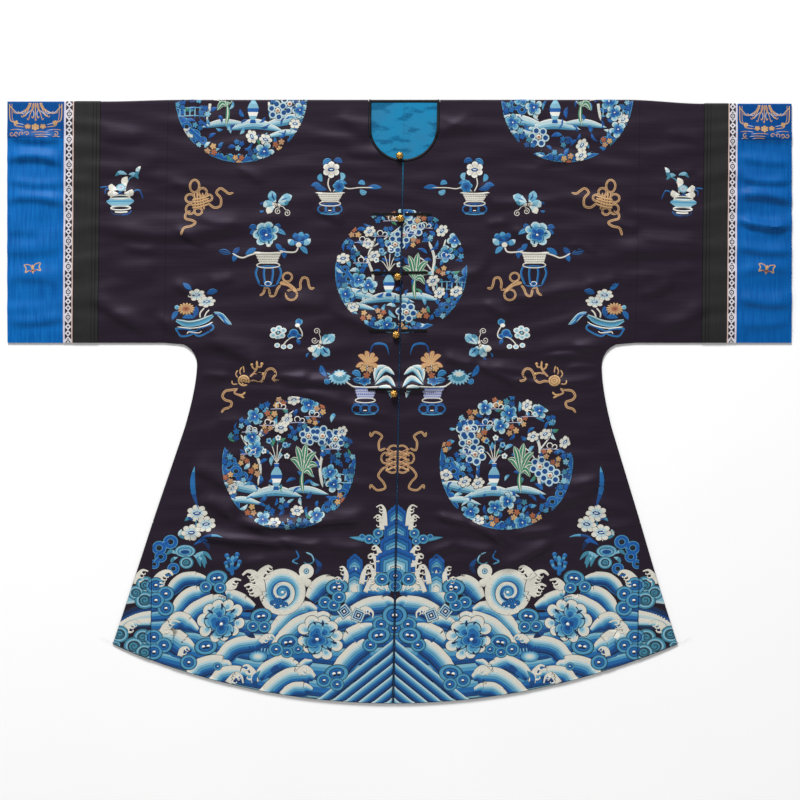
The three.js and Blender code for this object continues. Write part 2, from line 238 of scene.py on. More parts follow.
# Creases: across and drop of both ends, sideways bow at the middle, half-width, crest height.
CREASES = np.array([
    # left sleeve and underarm
    (-548, 222, -285, 226, 20, 17, 4.6), (-505, 118, -440, 115, 3, 11, 1.6),
    (-553, 356, -452, 420, 3, 12, 5.2), (-440, 385, -402, 424, 0, 9, 3.2),
    (-362, 424, -235, 484, -4, 20, 6.0), (-380, 404, -330, 420, 0, 9, 2.4),
    (-370, 214, -290, 222, 4, 9, 2.0), (-520, 300, -440, 312, 6, 18, 1.8),
    (-545, 62, -470, 70, 3, 9, 1.8), (-540, 172, -470, 166, -3, 8, 2.0), (-500, 262, -440, 270, 4, 8, 2.2),
    (-408, 232, -352, 262, 3, 7, 2.6), (-420, 150, -380, 160, 0, 7, 1.6), (-344, 330, -300, 322, 2, 8, 2.2),
    (-410, 330, -372, 350, 2, 8, 2.4), (-300, 120, -250, 150, 2, 8, 1.8), (-250, 330, -210, 352, 0, 8, 2.2),
    # left chest
    (-120, 26, -60, 66, 0, 15, 2.4), (-104, 94, -24, 98, 4, 9, 1.8), (-155, 196, -105, 222, 0, 9, 3.0),
    (-212, 366, -128, 372, 3, 11, 3.2), (-128, 372, -40, 412, 6, 11, 2.6), (-95, 134, -10, 140, 3, 8, 1.2),
    # left waist
    (-360, 496, -300, 500, 0, 6, 3.4), (-300, 498, -212, 500, 4, 8, 2.6), (-222, 498, -160, 497, 2, 7, 3.8),
    (-210, 510, -70, 516, -3, 7, 4.4), (-70, 516, 88, 520, 3, 6, 3.0), (-172, 528, -95, 546, 0, 9, 2.8),
    (-95, 546, -8, 572, 4, 9, 3.0), (-330, 578, -280, 574, 0, 8, 1.6), (-150, 582, -40, 590, 5, 12, 1.4),
    # right sleeve and underarm
    (385, 277, 545, 273, -5, 16, 3.6), (420, 246, 545, 250, 3, 10, 1.8), (420, 312, 540, 300, 4, 12, 2.0),
    (450, 425, 552, 374, 3, 12, 5.0), (180, 352, 268, 350, 5, 12, 2.6), (262, 350, 362, 346, -4, 14, 2.6),
    (126, 446, 250, 452, 5, 9, 3.2), (245, 450, 366, 444, -5, 9, 3.0), (150, 198, 300, 186, -6, 7, 1.8),
    (300, 186, 410, 190, 4, 9, 1.8),
    (470, 62, 545, 70, -3, 9, 1.8), (470, 128, 530, 122, 3, 8, 1.6), (380, 214, 424, 236, 3, 8, 2.2),
    (300, 262, 352, 276, -3, 8, 2.2), (330, 330, 392, 322, 4, 9, 2.4), (200, 232, 236, 262, 0, 7, 2.2),
    (430, 352, 492, 330, 3, 10, 3.0), (236, 118, 300, 106, 2, 9, 1.6), (150, 366, 196, 392, 2, 7, 2.6),
    (140, 150, 176, 196, 3, 9, 2.2), (150, 226, 190, 222, 0, 6, 2.0),
    # folds that fan out from the right armpit
    (372, 456, 312, 446, 0, 6, 2.6), (370, 470, 262, 462, 4, 6, 3.0), (368, 484, 300, 486, 3, 5, 2.6),
    (367, 500, 280, 512, -3, 6, 3.6), (368, 516, 318, 522, 0, 6, 2.4), (262, 512, 208, 504, 0, 6, 2.8),
    # right chest and waist
    (12, 418, 48, 420, 0, 7, 2.0), (78, 462, 138, 478, 3, 8, 3.6), (136, 478, 220, 518, -3, 8, 4.0),
    (165, 480, 250, 496, 0, 7, 3.0), (88, 322, 160, 286, 10, 12, 2.6), (60, 30, 122, 62, 0, 5, 0.8),
    (122, 24, 66, 66, 0, 5, 0.8), (14, 512, 84, 516, 0, 6, 2.4), (40, 60, 130, 42, 0, 12, 1.4),
    # left skirt
    (-370, 658, -296, 698, 0, 14, 5.0), (-352, 716, -290, 752, -2, 14, 5.4),
    (-290, 752, -228, 770, 3, 11, 4.4),
    (-366, 784, -180, 800, 3, 7, 6.0), (-292, 766, -30, 750, 5, 9, 6.0), (-212, 790, -128, 800, 6, 7, 4.0),
    (-128, 800, -36, 804, 5, 8, 3.6), (-270, 838, -232, 828, 0, 7, 2.0), (-130, 742, -40, 738, 3, 10, 1.8),
    # right skirt
    (70, 748, 132, 762, 2, 7, 5.0), (124, 762, 192, 794, -2, 7, 5.4), (40, 818, 110, 796, 6, 8, 3.8),
    (104, 798, 180, 812, 5, 8, 3.4), (184, 846, 284, 796, 3, 10, 5.4), (210, 784, 296, 772, 2, 7, 3.6),
    (246, 738, 372, 684, 8, 15, 4.6), (376, 772, 440, 762, 2, 9, 3.4), (120, 776, 210, 800, 0, 5, 2.4),
    (300, 700, 380, 668, 3, 10, 2.0),
    # cuffs: cross ripples
    (-706, 62, -606, 66, 5, 9, 4.2), (-706, 106, -606, 114, -9, 9, 5.0), (-706, 143, -606, 150, 5, 7, 2.4),
    (-706, 178, -606, 184, -6, 10, 4.6), (-706, 232, -650, 238, 0, 12, 2.4),
    (-706, 398, -606, 392, 5, 10, 4.2),
    (-706, 318, -606, 330, -6, 14, 2.4), (-706, 270, -606, 262, 7, 12, 2.2), (606, 134, 706, 142, 6, 8, 4.6),
    (606, 172, 706, 182, -8, 9, 4.8), (606, 214, 706, 224, 6, 7, 6.4), (606, 262, 706, 270, 5, 10, 3.6),
    (606, 354, 706, 364, 7, 12, 4.4), (606, 60, 706, 66, 0, 9, 2.4), (606, 98, 706, 108, 5, 8, 2.6),
    (606, 310, 706, 304, -5, 12, 2.6), (606, 402, 706, 396, 6, 10, 3.0),
], dtype=float)


def joined(*lines):
    """Arrays of numbers, such as across and drop, put together as points or as faces."""
    return np.stack(lines, axis=-1)


# Small ripples that cross the cloth everywhere: lengths of a wave across and down, divided by
# two pi, and the two shifts that place each of them.
dice = np.random.default_rng(7)
RIPPLES = joined(dice.uniform(25, 70, 14) * dice.choice([-1, 1], 14), dice.uniform(4.2, 12, 14),
                    dice.uniform(0, 6.28, 14), dice.uniform(0, 6.28, 14))


def fade(value, start, end):
    """Smoothly 0 before start and 1 after end."""
    t = np.clip((value - start) / (end - start), 0, 1)
    return t * t * (3 - 2 * t)


def hem_drop(across):
    """Drop of the hem, an arc about a point on the centre line above the shoulder."""
    return np.sqrt(HEM_RADIUS ** 2 - across ** 2) - (HEM_RADIUS - COAT_LENGTH)


def side_at(drop):
    """Half-width of the coat below the sleeve: the armpit's curve and then the straight flare."""
    radius, start = ARMPIT["radius"], SLEEVE_DROP + ARMPIT["radius"]
    curve = ARMPIT["across"] + radius * (1 - np.clip((drop - SLEEVE_DROP) / radius, 0, 1)) ** 2
    curve = curve + (ARMPIT["flare_across"] - ARMPIT["across"]) * fade(drop, start, ARMPIT["flare_drop"] + 60)
    t = (drop - ARMPIT["flare_drop"]) / (HEM_CORNER[1] - ARMPIT["flare_drop"])
    flare = ARMPIT["flare_across"] + t * (HEM_CORNER[0] - ARMPIT["flare_across"])
    return np.where(drop < ARMPIT["flare_drop"], curve, flare)


def crease_height(across, drop):
    """All creases together. Each crest rises gently on its shoulder side, falls off steeply on
    its hem side, and dies out over the last fifth of its length."""
    total = np.zeros_like(across)
    for a0, d0, a1, d1, bow, reach, height in CREASES:
        along = np.array([a1 - a0, d1 - d0])
        length = np.hypot(*along)
        t = ((across - a0) * along[0] + (drop - d0) * along[1]) / length ** 2
        off = ((drop - d0) * along[0] - (across - a0) * along[1]) / length
        off = (off - 4 * bow * t * (1 - t)) * np.sign(along[0])
        spread = np.where(off < 0, 1.6 * reach, 0.66 * reach)
        ends = fade(t, -0.08, 0.25) * (1 - fade(t, 0.75, 1.08))
        total += (1.3 if abs(a0) < 600 else 1.5) * height * ends * np.exp(-(off / spread) ** 2)
    return total


def front_height(across, drop):
    """Height of the front's outer face: pressed together at the sewn edges, a fold's width at the
    shoulder, and lifted by a soft puff, slow ripples and the creases between."""
    armpit = ARMPIT["across"] + ARMPIT["radius"]
    above = np.hypot(np.maximum(0, armpit - np.abs(across)), SLEEVE_DROP - drop)
    inward = np.where(drop > SLEEVE_DROP, np.maximum(0, side_at(drop) - np.abs(across)), above)
    loose = 1 - np.exp(-inward / EASE)
    ripple = 0.8 + 0.45 * np.sin(across / 83 + 1.3) * np.cos(drop / 71)
    for wide, tall, phase, patch in RIPPLES:
        wave = np.sin(across / wide + drop / tall + phase + 0.9 * np.sin(across / 70 + patch))
        ripple = ripple + 0.055 * tall * wave * (0.5 + 0.5 * np.sin(across / 64 - drop / 88 + patch))
    ripple = ripple * (1 - 0.9 * fade(drop, HEM_STIFF, HEM_STIFF + 60))
    peak = fade(drop, PEAK_STIFF, PEAK_STIFF + 30) * (1 - fade(np.abs(across), 40, 75))
    lift = (np.maximum(ripple, 0) + crease_height(across, drop)) * (1 - 0.85 * peak)
    gap = 0.3 + (FOLD_GAP - 0.3) * loose + lift * loose
    return SHOULDER_TOP + fade(drop, *ROLL) * (gap - FOLD_GAP)


def lay(across, drop):
    """Where a pattern point lies on the table: the hem swings to the left of the neck, and the
    shoulder fold sags towards the cuffs. The drop is the same for front and back."""
    lean = (LEAN - LEAN_SLOPE * drop) * (1 - fade(np.abs(across), 430, REACH))
    sag = np.where(across > 0, 7, 3) * fade(np.abs(across), 400, 540)
    return across + lean, HALF_LENGTH - drop - sag * np.clip(1 - drop / SLEEVE_DROP, 0, 1)


def surface(across, drop, lift):
    """A pattern point raised by a lift off the outer face: flat along the front, round the
    shoulder fold as half an ellipse, and down the back against the table."""
    across, drop = np.broadcast_arrays(np.asarray(across, float), np.asarray(drop, float))
    turn = np.clip(drop / FOLD_START, -1, 1) * math.pi / 2
    down = np.maximum(np.abs(drop), FOLD_START)
    x, y = lay(across, down)
    top = front_height(across, down)
    middle = (SHOULDER_TOP + BACK_CLEAR) / 2
    y = y + np.where(np.abs(drop) < FOLD_START, (FOLD_START + lift) * np.cos(turn), 0)
    fold = middle + (SHOULDER_TOP - middle + lift) * np.sin(turn)
    back = BACK_CLEAR - lift + BACK_CREASE * crease_height(-across, down) * fade(down, *ROLL)
    z = np.where(drop >= FOLD_START, top + lift, np.where(drop <= -FOLD_START, back, fold))
    return joined(x, y, z) / 1000


def new_object(name, points, faces, finish, uvs=None):
    """A mesh object at the origin from an array of points and lists of faces. uvs names each
    map and gives its two numbers for every point."""
    mesh = bpy.data.meshes.new(name)
    mesh.from_pydata(points.reshape(-1, 3).tolist(), [], faces)
    corners = np.empty(len(mesh.loops), dtype=np.int32)
    mesh.loops.foreach_get("vertex_index", corners)
    for key, values in (uvs or {}).items():
        layer = mesh.uv_layers.new(name=key)
        layer.data.foreach_set("uv", values.reshape(-1, 2)[corners].ravel())
    mesh.polygons.foreach_set("use_smooth", [True] * len(mesh.polygons))
    mesh.set_sharp_from_angle(angle=SHARP)
    mesh.materials.append(finish.material)
    piece = bpy.data.objects.new(name, mesh)
    bpy.context.collection.objects.link(piece)
    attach(piece, "root")
    return piece


def grid_faces(rows, columns, start=0):
    """Quads over a grid of points that are numbered row by row from a start."""
    corner = (np.arange(rows - 1)[:, None] * columns + np.arange(columns - 1)).ravel() + start
    return joined(corner, corner + columns, corner + columns + 1, corner + 1)


def cloth(name, across, drop, finish, rise=0.0):
    """A closed wall of cloth over a grid of pattern points: the outer face, the inner face a
    shell's thickness below it with half the columns, and the edges between them."""
    outer = surface(across, drop, rise)
    inner = surface(across[:, ::2], drop[:, ::2], -SHELL)
    rows, columns = across.shape
    top = np.arange(rows * columns).reshape(rows, columns)
    low = rows * columns + np.arange(inner.size // 3).reshape(inner.shape[:2])
    quads = [grid_faces(rows, columns), grid_faces(*low.shape, rows * columns)[:, ::-1]]
    for a, b in ((top[:, -1], low[:, -1]), (top[::-1, 0], low[::-1, 0])):
        quads.append(joined(a[:-1], a[1:], b[1:], b[:-1]))
    ends = [joined(a[:-2:2], a[1:-1:2], a[2::2], b[1:], b[:-1])
            for a, b in ((top[0], low[0]), (top[-1, ::-1], low[-1, ::-1]))]
    way = 1 if np.cross(outer[1, 0] - outer[0, 0], outer[0, 1] - outer[0, 0])[2] >= 0 else -1
    faces = np.concatenate(quads)[:, ::way].tolist() + np.concatenate(ends)[:, ::way].tolist()
    weave = joined(across, drop) / 1000
    weave = np.concatenate([weave.reshape(-1, 2), weave[:, ::2].reshape(-1, 2)])
    points = np.concatenate([outer.reshape(-1, 3), inner.reshape(-1, 3)])
    return new_object(name, points, faces, finish, uvs={"weave": weave})


def along(path, count):
    """A path of points cut into equal steps of its length."""
    path = np.asarray(path, float)
    reach = np.concatenate([[0], np.cumsum(np.hypot(*np.diff(path, axis=0).T))])
    steps = np.linspace(0, reach[-1], count)
    return np.stack([np.interp(steps, reach, path[:, k]) for k in (0, 1)], axis=-1)


def circle_part(across, drop, radius, start, end, steps=24):
    """Points on a circle between two angles in degrees, measured from across towards drop."""
    angle = np.radians(np.linspace(start, end, steps))
    return joined(across + radius * np.cos(angle), drop + radius * np.sin(angle))


def side_path(inset):
    """The side edge from the sleeve's underside round the armpit and down the flare."""
    armpit = ARMPIT["across"] + ARMPIT["radius"]
    curve = circle_part(armpit, SLEEVE_DROP + ARMPIT["radius"], ARMPIT["radius"], 270, 180)
    t = np.linspace(0, 1, 24)[1:, None]
    start, end = curve[-1], np.array([ARMPIT["flare_across"], ARMPIT["flare_drop"]])
    control = np.array([ARMPIT["across"], SLEEVE_DROP + 2 * ARMPIT["radius"]])
    bend = (1 - t) ** 2 * start + 2 * t * (1 - t) * control + t ** 2 * end
    slope = (HEM_CORNER[0] - end[0]) / (HEM_CORNER[1] - end[1])
    meet = end[1] + (GORE_SEAM - inset - end[0]) / slope
    return curve, np.concatenate([curve[-1:], bend, [[GORE_SEAM - inset, meet]]])


def ruled(stages):
    """Rows of pattern points ruled straight from an inner path to an outer one. Each stage gives
    the two paths and how many rows they share. Between, the drop is carried as a share of the
    hem's drop, so that the lowest row follows the hem's arc."""
    inner, outer = [], []
    for left, right, count in stages:
        inner.append(along(left, count + 1)[1:])
        outer.append(along(right, count + 1)[1:])
    inner, outer = np.concatenate(inner), np.concatenate(outer)
    share = np.linspace(0, 1, 2 * int(GORE_SEAM / CELL / 2) + 1)[None, :]
    across = inner[:, :1] * (1 - share) + outer[:, :1] * share
    depths = [np.abs(p[:, 1:]) / hem_drop(p[:, :1]) for p in (inner, outer)]
    depth = depths[0] * (1 - share) + depths[1] * share
    signs = np.sign(inner[:, 1:])
    return across, signs * depth * hem_drop(across)


def body_pattern(side):
    """The body's grid, from the front hem up round the neck, over the shoulder fold and down the
    back. Inner path: front edge, neck, back seam. Outer path: sleeve seam, armpit, side, gore."""
    neck = NECK_HALF + BINDING + 2 * SEAM
    centre = NECK_DEPTH - NECK_HALF
    neck_curve = np.concatenate([circle_part(0, centre, neck, 88.5, 0), [[neck, FOLD_START]]])
    armpit, flare = side_path(SEAM)
    seam, gore = SLEEVE_SEAM - SEAM, GORE_SEAM - SEAM
    start = neck_curve[0]
    corner_out = np.array([[gore, flare[-1, 1]], [gore, hem_drop(gore)]])
    rungs = (440.0, 470.0, 530.0, 812.0)    # where rows from the armpit and the side meet the middle
    mid = [[start[0], drop] for drop in rungs]
    spine = [[SEAM, drop] for drop in rungs]
    front = [
        ([[start[0], hem_drop(start[0])], mid[3]], corner_out[::-1], 60),
        ([mid[3], mid[2]], flare[::-1], 66),
        ([mid[2], mid[1]], armpit[::-1], 14),
        ([mid[1], mid[0]], [[armpit[0, 0], SLEEVE_DROP], [seam, SLEEVE_DROP]], 5),
        ([mid[0], start], [[seam, SLEEVE_DROP], [seam, 130.0]], 72),
        (neck_curve, [[seam, 130.0], [seam, FOLD_START]], 32),
    ]
    tip = 1e-6
    fold = [([[neck, FOLD_START], [neck, tip]], [[seam, FOLD_START], [seam, tip]], 3)]
    half_fold = [([[neck, 0], [neck, FOLD_START]], [[seam, 0], [seam, FOLD_START]], 3)]
    nape = BINDING
    back = [
        ([[neck, FOLD_START], [neck, nape]], [[seam, FOLD_START], [seam, nape]], 1),
        ([[neck, nape], [SEAM, nape]], [[seam, nape], [seam, 70.0]], 12),
        ([[SEAM, nape], spine[0]], [[seam, 70.0], [seam, SLEEVE_DROP]], 36),
        (spine[0:2], [[seam, SLEEVE_DROP], [armpit[0, 0], SLEEVE_DROP]], 4),
        (spine[1:3], armpit, 8),
        (spine[2:4], flare, 28),
        ([spine[3], [SEAM, COAT_LENGTH]], corner_out, 26),
    ]
    across, drop = ruled(front + fold)
    back_across, back_drop = ruled(half_fold + back)
    return side * np.concatenate([across, back_across]), np.concatenate([drop, -back_drop])


satin = Finish("aubergine_satin", Roughness=0.44, Specular_IOR_Level=0.22,
               Specular_Tint=(0.86, 0.7, 0.95, 1.0))
weave = satin.uv("weave")
streaks = satin.noise(satin.stretched(weave, (12.0, 260.0, 1.0)), 1.0, 3.0)
clouding = satin.noise(weave, 9.0, 3.0)
ground = satin.mix(streaks, linear(24, 17, 26), linear(34, 27, 37))
satin.feed("Base Color", satin.mix(clouding * 0.4, ground, linear(38, 30, 40)))
satin.feed("Roughness", 0.42 + 0.12 * streaks)
threads = satin.noise(satin.stretched(weave, (300.0, 2600.0, 1.0)), 1.0, 1.0)
satin.relief(threads * 0.4 + streaks, 0.0004, 0.35)

for side, node in ((-1, "body_left"), (1, "body_right")):
    piece = cloth(f"satin_{node}", *body_pattern(side), satin)
    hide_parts(node)

# ---------------------------------------------------------------------------------------------
# Side gores. Narrow triangles of the same satin that widen the hem, sewn to the selvedges and
# cut separately for the front and the back.


def gore_pattern(side, face):
    """Rows from the gore's tip down to the hem, from the seam out to the flared side."""
    _, flare = side_path(-SEAM)
    seam = GORE_SEAM + SEAM
    t = np.linspace(0.01, 1, 34)[:, None]
    share = np.linspace(0, 1, 15)[None, :]
    tip = flare[-1, 1]
    depth = tip / hem_drop(seam) * (1 - t) + t
    corner = HEM_CORNER[0] - 1.0
    across = seam + (corner - seam) * t * share
    return side * across, face * depth * hem_drop(across)


for side, word in ((-1, "left"), (1, "right")):
    for face, where in ((1, "front"), (-1, "back")):
        piece = cloth(f"satin_gore_{where}_{word}", *gore_pattern(side, face), satin)
        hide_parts(f"gore_{where}_{word}")

# ---------------------------------------------------------------------------------------------
# Sleeves. Straight pieces of satin folded over the shoulder line and closed along the
# underside, with a wide band of black satin, a woven ribbon and a bright blue cuff beyond them.
BAND_SEAM = 542.5
RIBBON_SEAM = 587.0
CUFF_SEAM = 605.5
TUCK = 6.5              # the band is tucked this far from its inner edge


def sleeve_pattern(side, start, end, columns):
    """Rows from the front's underside over the shoulder fold to the back's underside."""
    front = np.linspace(SLEEVE_DROP, FOLD_START, 96)
    fold = np.linspace(FOLD_START, -FOLD_START, 7)[1:-1]
    back = np.linspace(-FOLD_START, -SLEEVE_DROP, 48)
    return np.meshgrid(side * np.linspace(start, end, columns), np.concatenate([front, fold, back]))


black = Finish("black_satin", Roughness=0.6, Specular_IOR_Level=0.2)
weave = black.uv("weave")
streaks = black.noise(black.stretched(weave, (500.0, 14.0, 1.0)), 1.0, 3.0)
from_seam = (black.parts(weave)[0].one("ABSOLUTE") * 1000.0 - BAND_SEAM - TUCK).one("ABSOLUTE")
# This mask darkens the tuck line, a real seam, and a thin strip along the band's inner edge, which is painted
# shadow of that raised edge.
tuck_and_edge_shadow = (from_seam < 0.7) + (from_seam > TUCK - 1.0) * (from_seam < TUCK + 0.2)
plain = black.mix(streaks, linear(26, 25, 26), linear(38, 37, 37))
black.feed("Base Color", black.mix(tuck_and_edge_shadow, plain, linear(12, 11, 12)))
black.relief(streaks - tuck_and_edge_shadow * 4.0, 0.0003, 0.4)

blue = Finish("ribbed_blue_silk", Roughness=0.46, Specular_IOR_Level=0.15,
              Specular_Tint=(0.5, 0.75, 1.0, 1.0))
weave = blue.uv("weave")
ribs = blue.noise(blue.stretched(weave, (300.0, 22.0, 1.0)), 1.0, 2.0)
wefts = blue.noise(blue.stretched(weave, (20.0, 600.0, 1.0)), 1.0, 2.0)
cloudy = blue.noise(blue.stretched(weave, (9.0, 22.0, 1.0)), 1.0)
tone = blue.mix(cloudy, linear(0, 52, 120), linear(0, 92, 168))
faded = blue.mix((ribs - 0.25) * 1.1 + wefts * 0.15, tone, linear(22, 116, 192))
out_mm, down_mm = blue.parts(weave)
couched = (down_mm.one("ABSOLUTE") < 0.0675) * 0.62
faded = blue.mix(couched, faded, linear(6, 46, 104))
blue.feed("Base Color", blue.mix((out_mm > 0.0) * 0.3, faded, linear(0, 56, 118)))
blue.relief(ribs + wefts, 0.0003, 0.5)

ribbon = Finish("woven_ribbon", Roughness=0.6, Specular_IOR_Level=0.25)
across_mm, down_mm = ribbon.parts(ribbon.uv("weave"))
RIBBON_MIDDLE = (RIBBON_SEAM + CUFF_SEAM) / 2000
REPEAT = 46.0           # one ring and three lozenges
sideways = (across_mm.one("ABSOLUTE") - RIBBON_MIDDLE) * 1000
from_middle = sideways.one("ABSOLUTE")
along_it = down_mm * 1000
lozenge = from_middle / 5.8 + ((along_it / (REPEAT / 4)).one("FRACT") - 0.5).one("ABSOLUTE") * 2.0
lozenges = (lozenge > 1.04).most(lozenge < 0.42)
from_ring = ((along_it / REPEAT).one("FRACT") - 0.5) * REPEAT
away = (sideways * sideways + from_ring * from_ring).one("SQRT")
ring = ((away - 3.7).one("ABSOLUTE") < 0.9).most(away < 1.0)
figure = ribbon.mix(from_ring.one("ABSOLUTE") < REPEAT / 8, lozenges, ring)
thread = ribbon.noise(ribbon.stretched(ribbon.uv("weave"), (900.0, 900.0, 1.0)), 1.0, 2.0)
dark = ribbon.mix(thread, linear(14, 12, 24), linear(44, 38, 52))
white = ribbon.mix(thread, linear(184, 180, 186), linear(222, 218, 222))
middle_band = ribbon.mix(figure, white, dark)
pinkish = ribbon.mix(thread, linear(178, 156, 148), linear(212, 190, 182))
lilac = ribbon.mix(thread, linear(180, 176, 192), linear(212, 208, 222))
# The rim beside the black band is the brown edge cord, made darker still as painted shadow from the raised
# band next to it.
rim = ribbon.mix(sideways < -7.8, ribbon.mix(sideways > 0.0, pinkish, lilac), linear(52, 34, 32))
ribbon.feed("Base Color", ribbon.mix(from_middle > 5.8, middle_band, rim))
ribbon.relief(thread + (from_middle > 8.0) * 0.6, 0.0004, 0.5)

SLEEVE_PIECES = [
    # name, inner seam, outer seam, columns, finish, rise, slot
    ("sleeve", SLEEVE_SEAM, BAND_SEAM, 25, satin, 0.0, "satin"),
    ("black_band", BAND_SEAM, RIBBON_SEAM, 11, black, 0.8, "black_satin"),
    ("ribbon", RIBBON_SEAM, CUFF_SEAM, 7, ribbon, 0.4, "woven_ribbon"),
    ("cuff", CUFF_SEAM, REACH + SEAM, 23, blue, 0.0, "blue_silk"),
]
for side, word in ((-1, "left"), (1, "right")):
    for name, start, end, columns, finish, rise, slot in SLEEVE_PIECES:
        across, drop = sleeve_pattern(side, start + SEAM, end - SEAM, columns)
        piece = cloth(f"silk_{name}_{word}", across, drop, finish, rise)
        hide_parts(f"{name}_{word}")

# ---------------------------------------------------------------------------------------------
# Neck lining. The inside of the back: turquoise damask with darker cloud figures in its weave
# and a faint seam down the middle, seen through the neck opening.
LINING_FACE = 2.45
LINING_BACK = 1.55
LINING_HIDDEN = 9.0     # how far it goes on under the neck's edge


def lining_pattern():
    """Half-round at the bottom and straight above, as wide as the neck and a little more."""
    centre, radius = NECK_DEPTH - NECK_HALF, NECK_HALF + LINING_HIDDEN
    bottom = centre + radius * np.sin(np.linspace(0, 88, 18)[1:] * math.pi / 180)
    drops = np.concatenate([np.linspace(BINDING - 0.4, centre, 14), bottom])
    reach = np.sqrt(np.maximum(radius ** 2 - np.maximum(drops - centre, 0) ** 2, 1))
    share = np.linspace(-1, 1, 41)
    return reach[:, None] * share[None, :], np.broadcast_to(drops[:, None], (len(drops), 41))


across, drop = lining_pattern()
x, y = lay(across, drop)
wrinkle = 0.10 * np.sin(across / 13 + drop / 31) * np.cos(drop / 17) - 0.12 * np.exp(-(across / 1.6) ** 2)
face = joined(x, y, LINING_FACE + wrinkle) / 1000
under = joined(x, y, np.full_like(x, LINING_BACK)) / 1000
rows, columns = across.shape
count = rows * columns
edge = np.arange(count).reshape(rows, columns)
rims = [joined(line[1:], line[:-1], line[:-1] + count, line[1:] + count)
        for line in (edge[0, :], edge[:, -1], edge[-1, ::-1], edge[::-1, 0])]
sides = [rim[:, ::-1] for rim in rims]
faces = np.concatenate([grid_faces(rows, columns), grid_faces(rows, columns, count)[:, ::-1], *sides])
pattern = joined(across, drop) / 1000

damask = Finish("turquoise_damask", Roughness=0.5, Specular_IOR_Level=0.2,
                Specular_Tint=(0.4, 0.85, 1.0, 1.0))
weave = damask.uv("weave")
figures = damask.noise(damask.stretched(weave, (20.0, 52.0, 1.0)), 1.0, 4.0)
specks = damask.noise(damask.stretched(weave, (700.0, 900.0, 1.0)), 1.0, 2.0)
shaped = damask.add("ShaderNodeValToRGB", {"stops": [(0.5, (0, 0, 0)), (0.58, (1, 1, 1))]}, {0: figures})
seam_line = (damask.parts(weave)[0].one("ABSOLUTE") < 0.0009) * 0.35
duller = damask.noise(damask.stretched(weave, (16.0, 16.0, 1.0)), 1.0, 2.0)
brighter = damask.mix(specks, linear(10, 104, 150), linear(34, 138, 182))
plain = damask.mix((duller - 0.38) * 2.4, brighter, damask.mix(specks, linear(28, 92, 130), linear(60, 130, 168)))
blotch = damask.mix(specks, linear(0, 52, 92), linear(10, 88, 130))
figured = damask.mix(shaped * ((specks - 0.36) * 5.0), plain, blotch)
damask.feed("Base Color", damask.mix(seam_line, figured, linear(24, 92, 128)))
damask.relief(specks, 0.0003, 0.4)
piece = new_object("damask_neck_lining", np.concatenate([face.reshape(-1, 3), under.reshape(-1, 3)]),
                   faces.tolist(), damask, uvs={"weave": np.concatenate([pattern, pattern])})
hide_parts("neck_lining")

# ---------------------------------------------------------------------------------------------
# Neck binding, edge piping and button cords. Narrow bias strips and cords, each a round or
# flattened profile carried along its line and closed at both ends.


def sweep(path, half_width, half_height, sides):
    """A profile of so many sides carried along a path of points in millimetres, level across and
    upright, closed at both ends, with its own faces."""
    ahead = np.gradient(path, axis=0)
    level = joined(-ahead[:, 1], ahead[:, 0])
    level /= np.linalg.norm(level, axis=1, keepdims=True)
    angle = np.arange(sides) / sides * 2 * math.pi
    rows = len(path)
    wide = np.broadcast_to(half_width * np.cos(angle), (rows, sides))
    high = np.broadcast_to(half_height * np.sin(angle), (rows, sides))
    flat = path[:, None, :2] + level[:, None, :] * wide[:, :, None]
    points = np.concatenate([flat, path[:, None, 2:] + high[:, :, None]], axis=-1)
    ring = np.arange(rows - 1)[:, None] * sides + np.arange(sides)
    beside = ring - np.arange(sides) + np.roll(np.arange(sides), -1)
    span = rows * sides
    faces = joined(ring, (ring + sides) % span, (beside + sides) % span, beside)
    faces = faces.reshape(-1, 4).tolist()
    faces += [list(range(sides)), list(range(span - 1, span - sides - 1, -1))]
    length = np.concatenate([[0], np.cumsum(np.linalg.norm(np.diff(path, axis=0), axis=1))])
    uv = np.stack(np.broadcast_arrays(length[:, None], np.arange(sides) / sides), axis=-1)
    return points / 1000, [f[::-1] for f in faces], uv


def neck_path():
    """From the centre front round the U of the neck to the shoulder, and across the nape."""
    radius, centre = NECK_HALF + BINDING / 2, NECK_DEPTH - NECK_HALF
    upright = [[radius, d] for d in np.linspace(centre, 3.6, 12)[1:]]
    half = np.concatenate([circle_part(0, centre, radius, 89.7, 0, 40), upright])
    over = [[radius + 0.73, BINDING / 2 - 0.73]]
    nape = [[a, BINDING / 2] for a in np.linspace(radius - 3, 0, 14)]
    right = np.concatenate([half, over, nape])
    left = right[::-1][1:] * (-1, 1)
    return np.concatenate([right, left])


path = neck_path()
x, y = lay(path[:, 0], path[:, 1])
front_z = front_height(path[:, 0], np.maximum(path[:, 1], FOLD_START)) - 0.1
z = np.where(np.abs(path[:, 0]) < NECK_HALF, 2.6, front_z)
points, faces, uv = sweep(joined(x, y, z), BINDING / 2, 1.1, 10)
bias = Finish("black_bias_satin", Roughness=0.55, Specular_IOR_Level=0.2)
slant = bias.noise(bias.stretched(bias.place(), (900.0, 900.0, 900.0)), 1.0, 2.0)
bias.feed("Base Color", bias.mix(slant, linear(10, 9, 12), linear(24, 22, 26)))
bias.relief(slant, 0.0003, 0.5)
piece = new_object("bias_neck_binding", points, faces, bias, uvs={"weave": uv / 1000})
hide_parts("neck_binding")

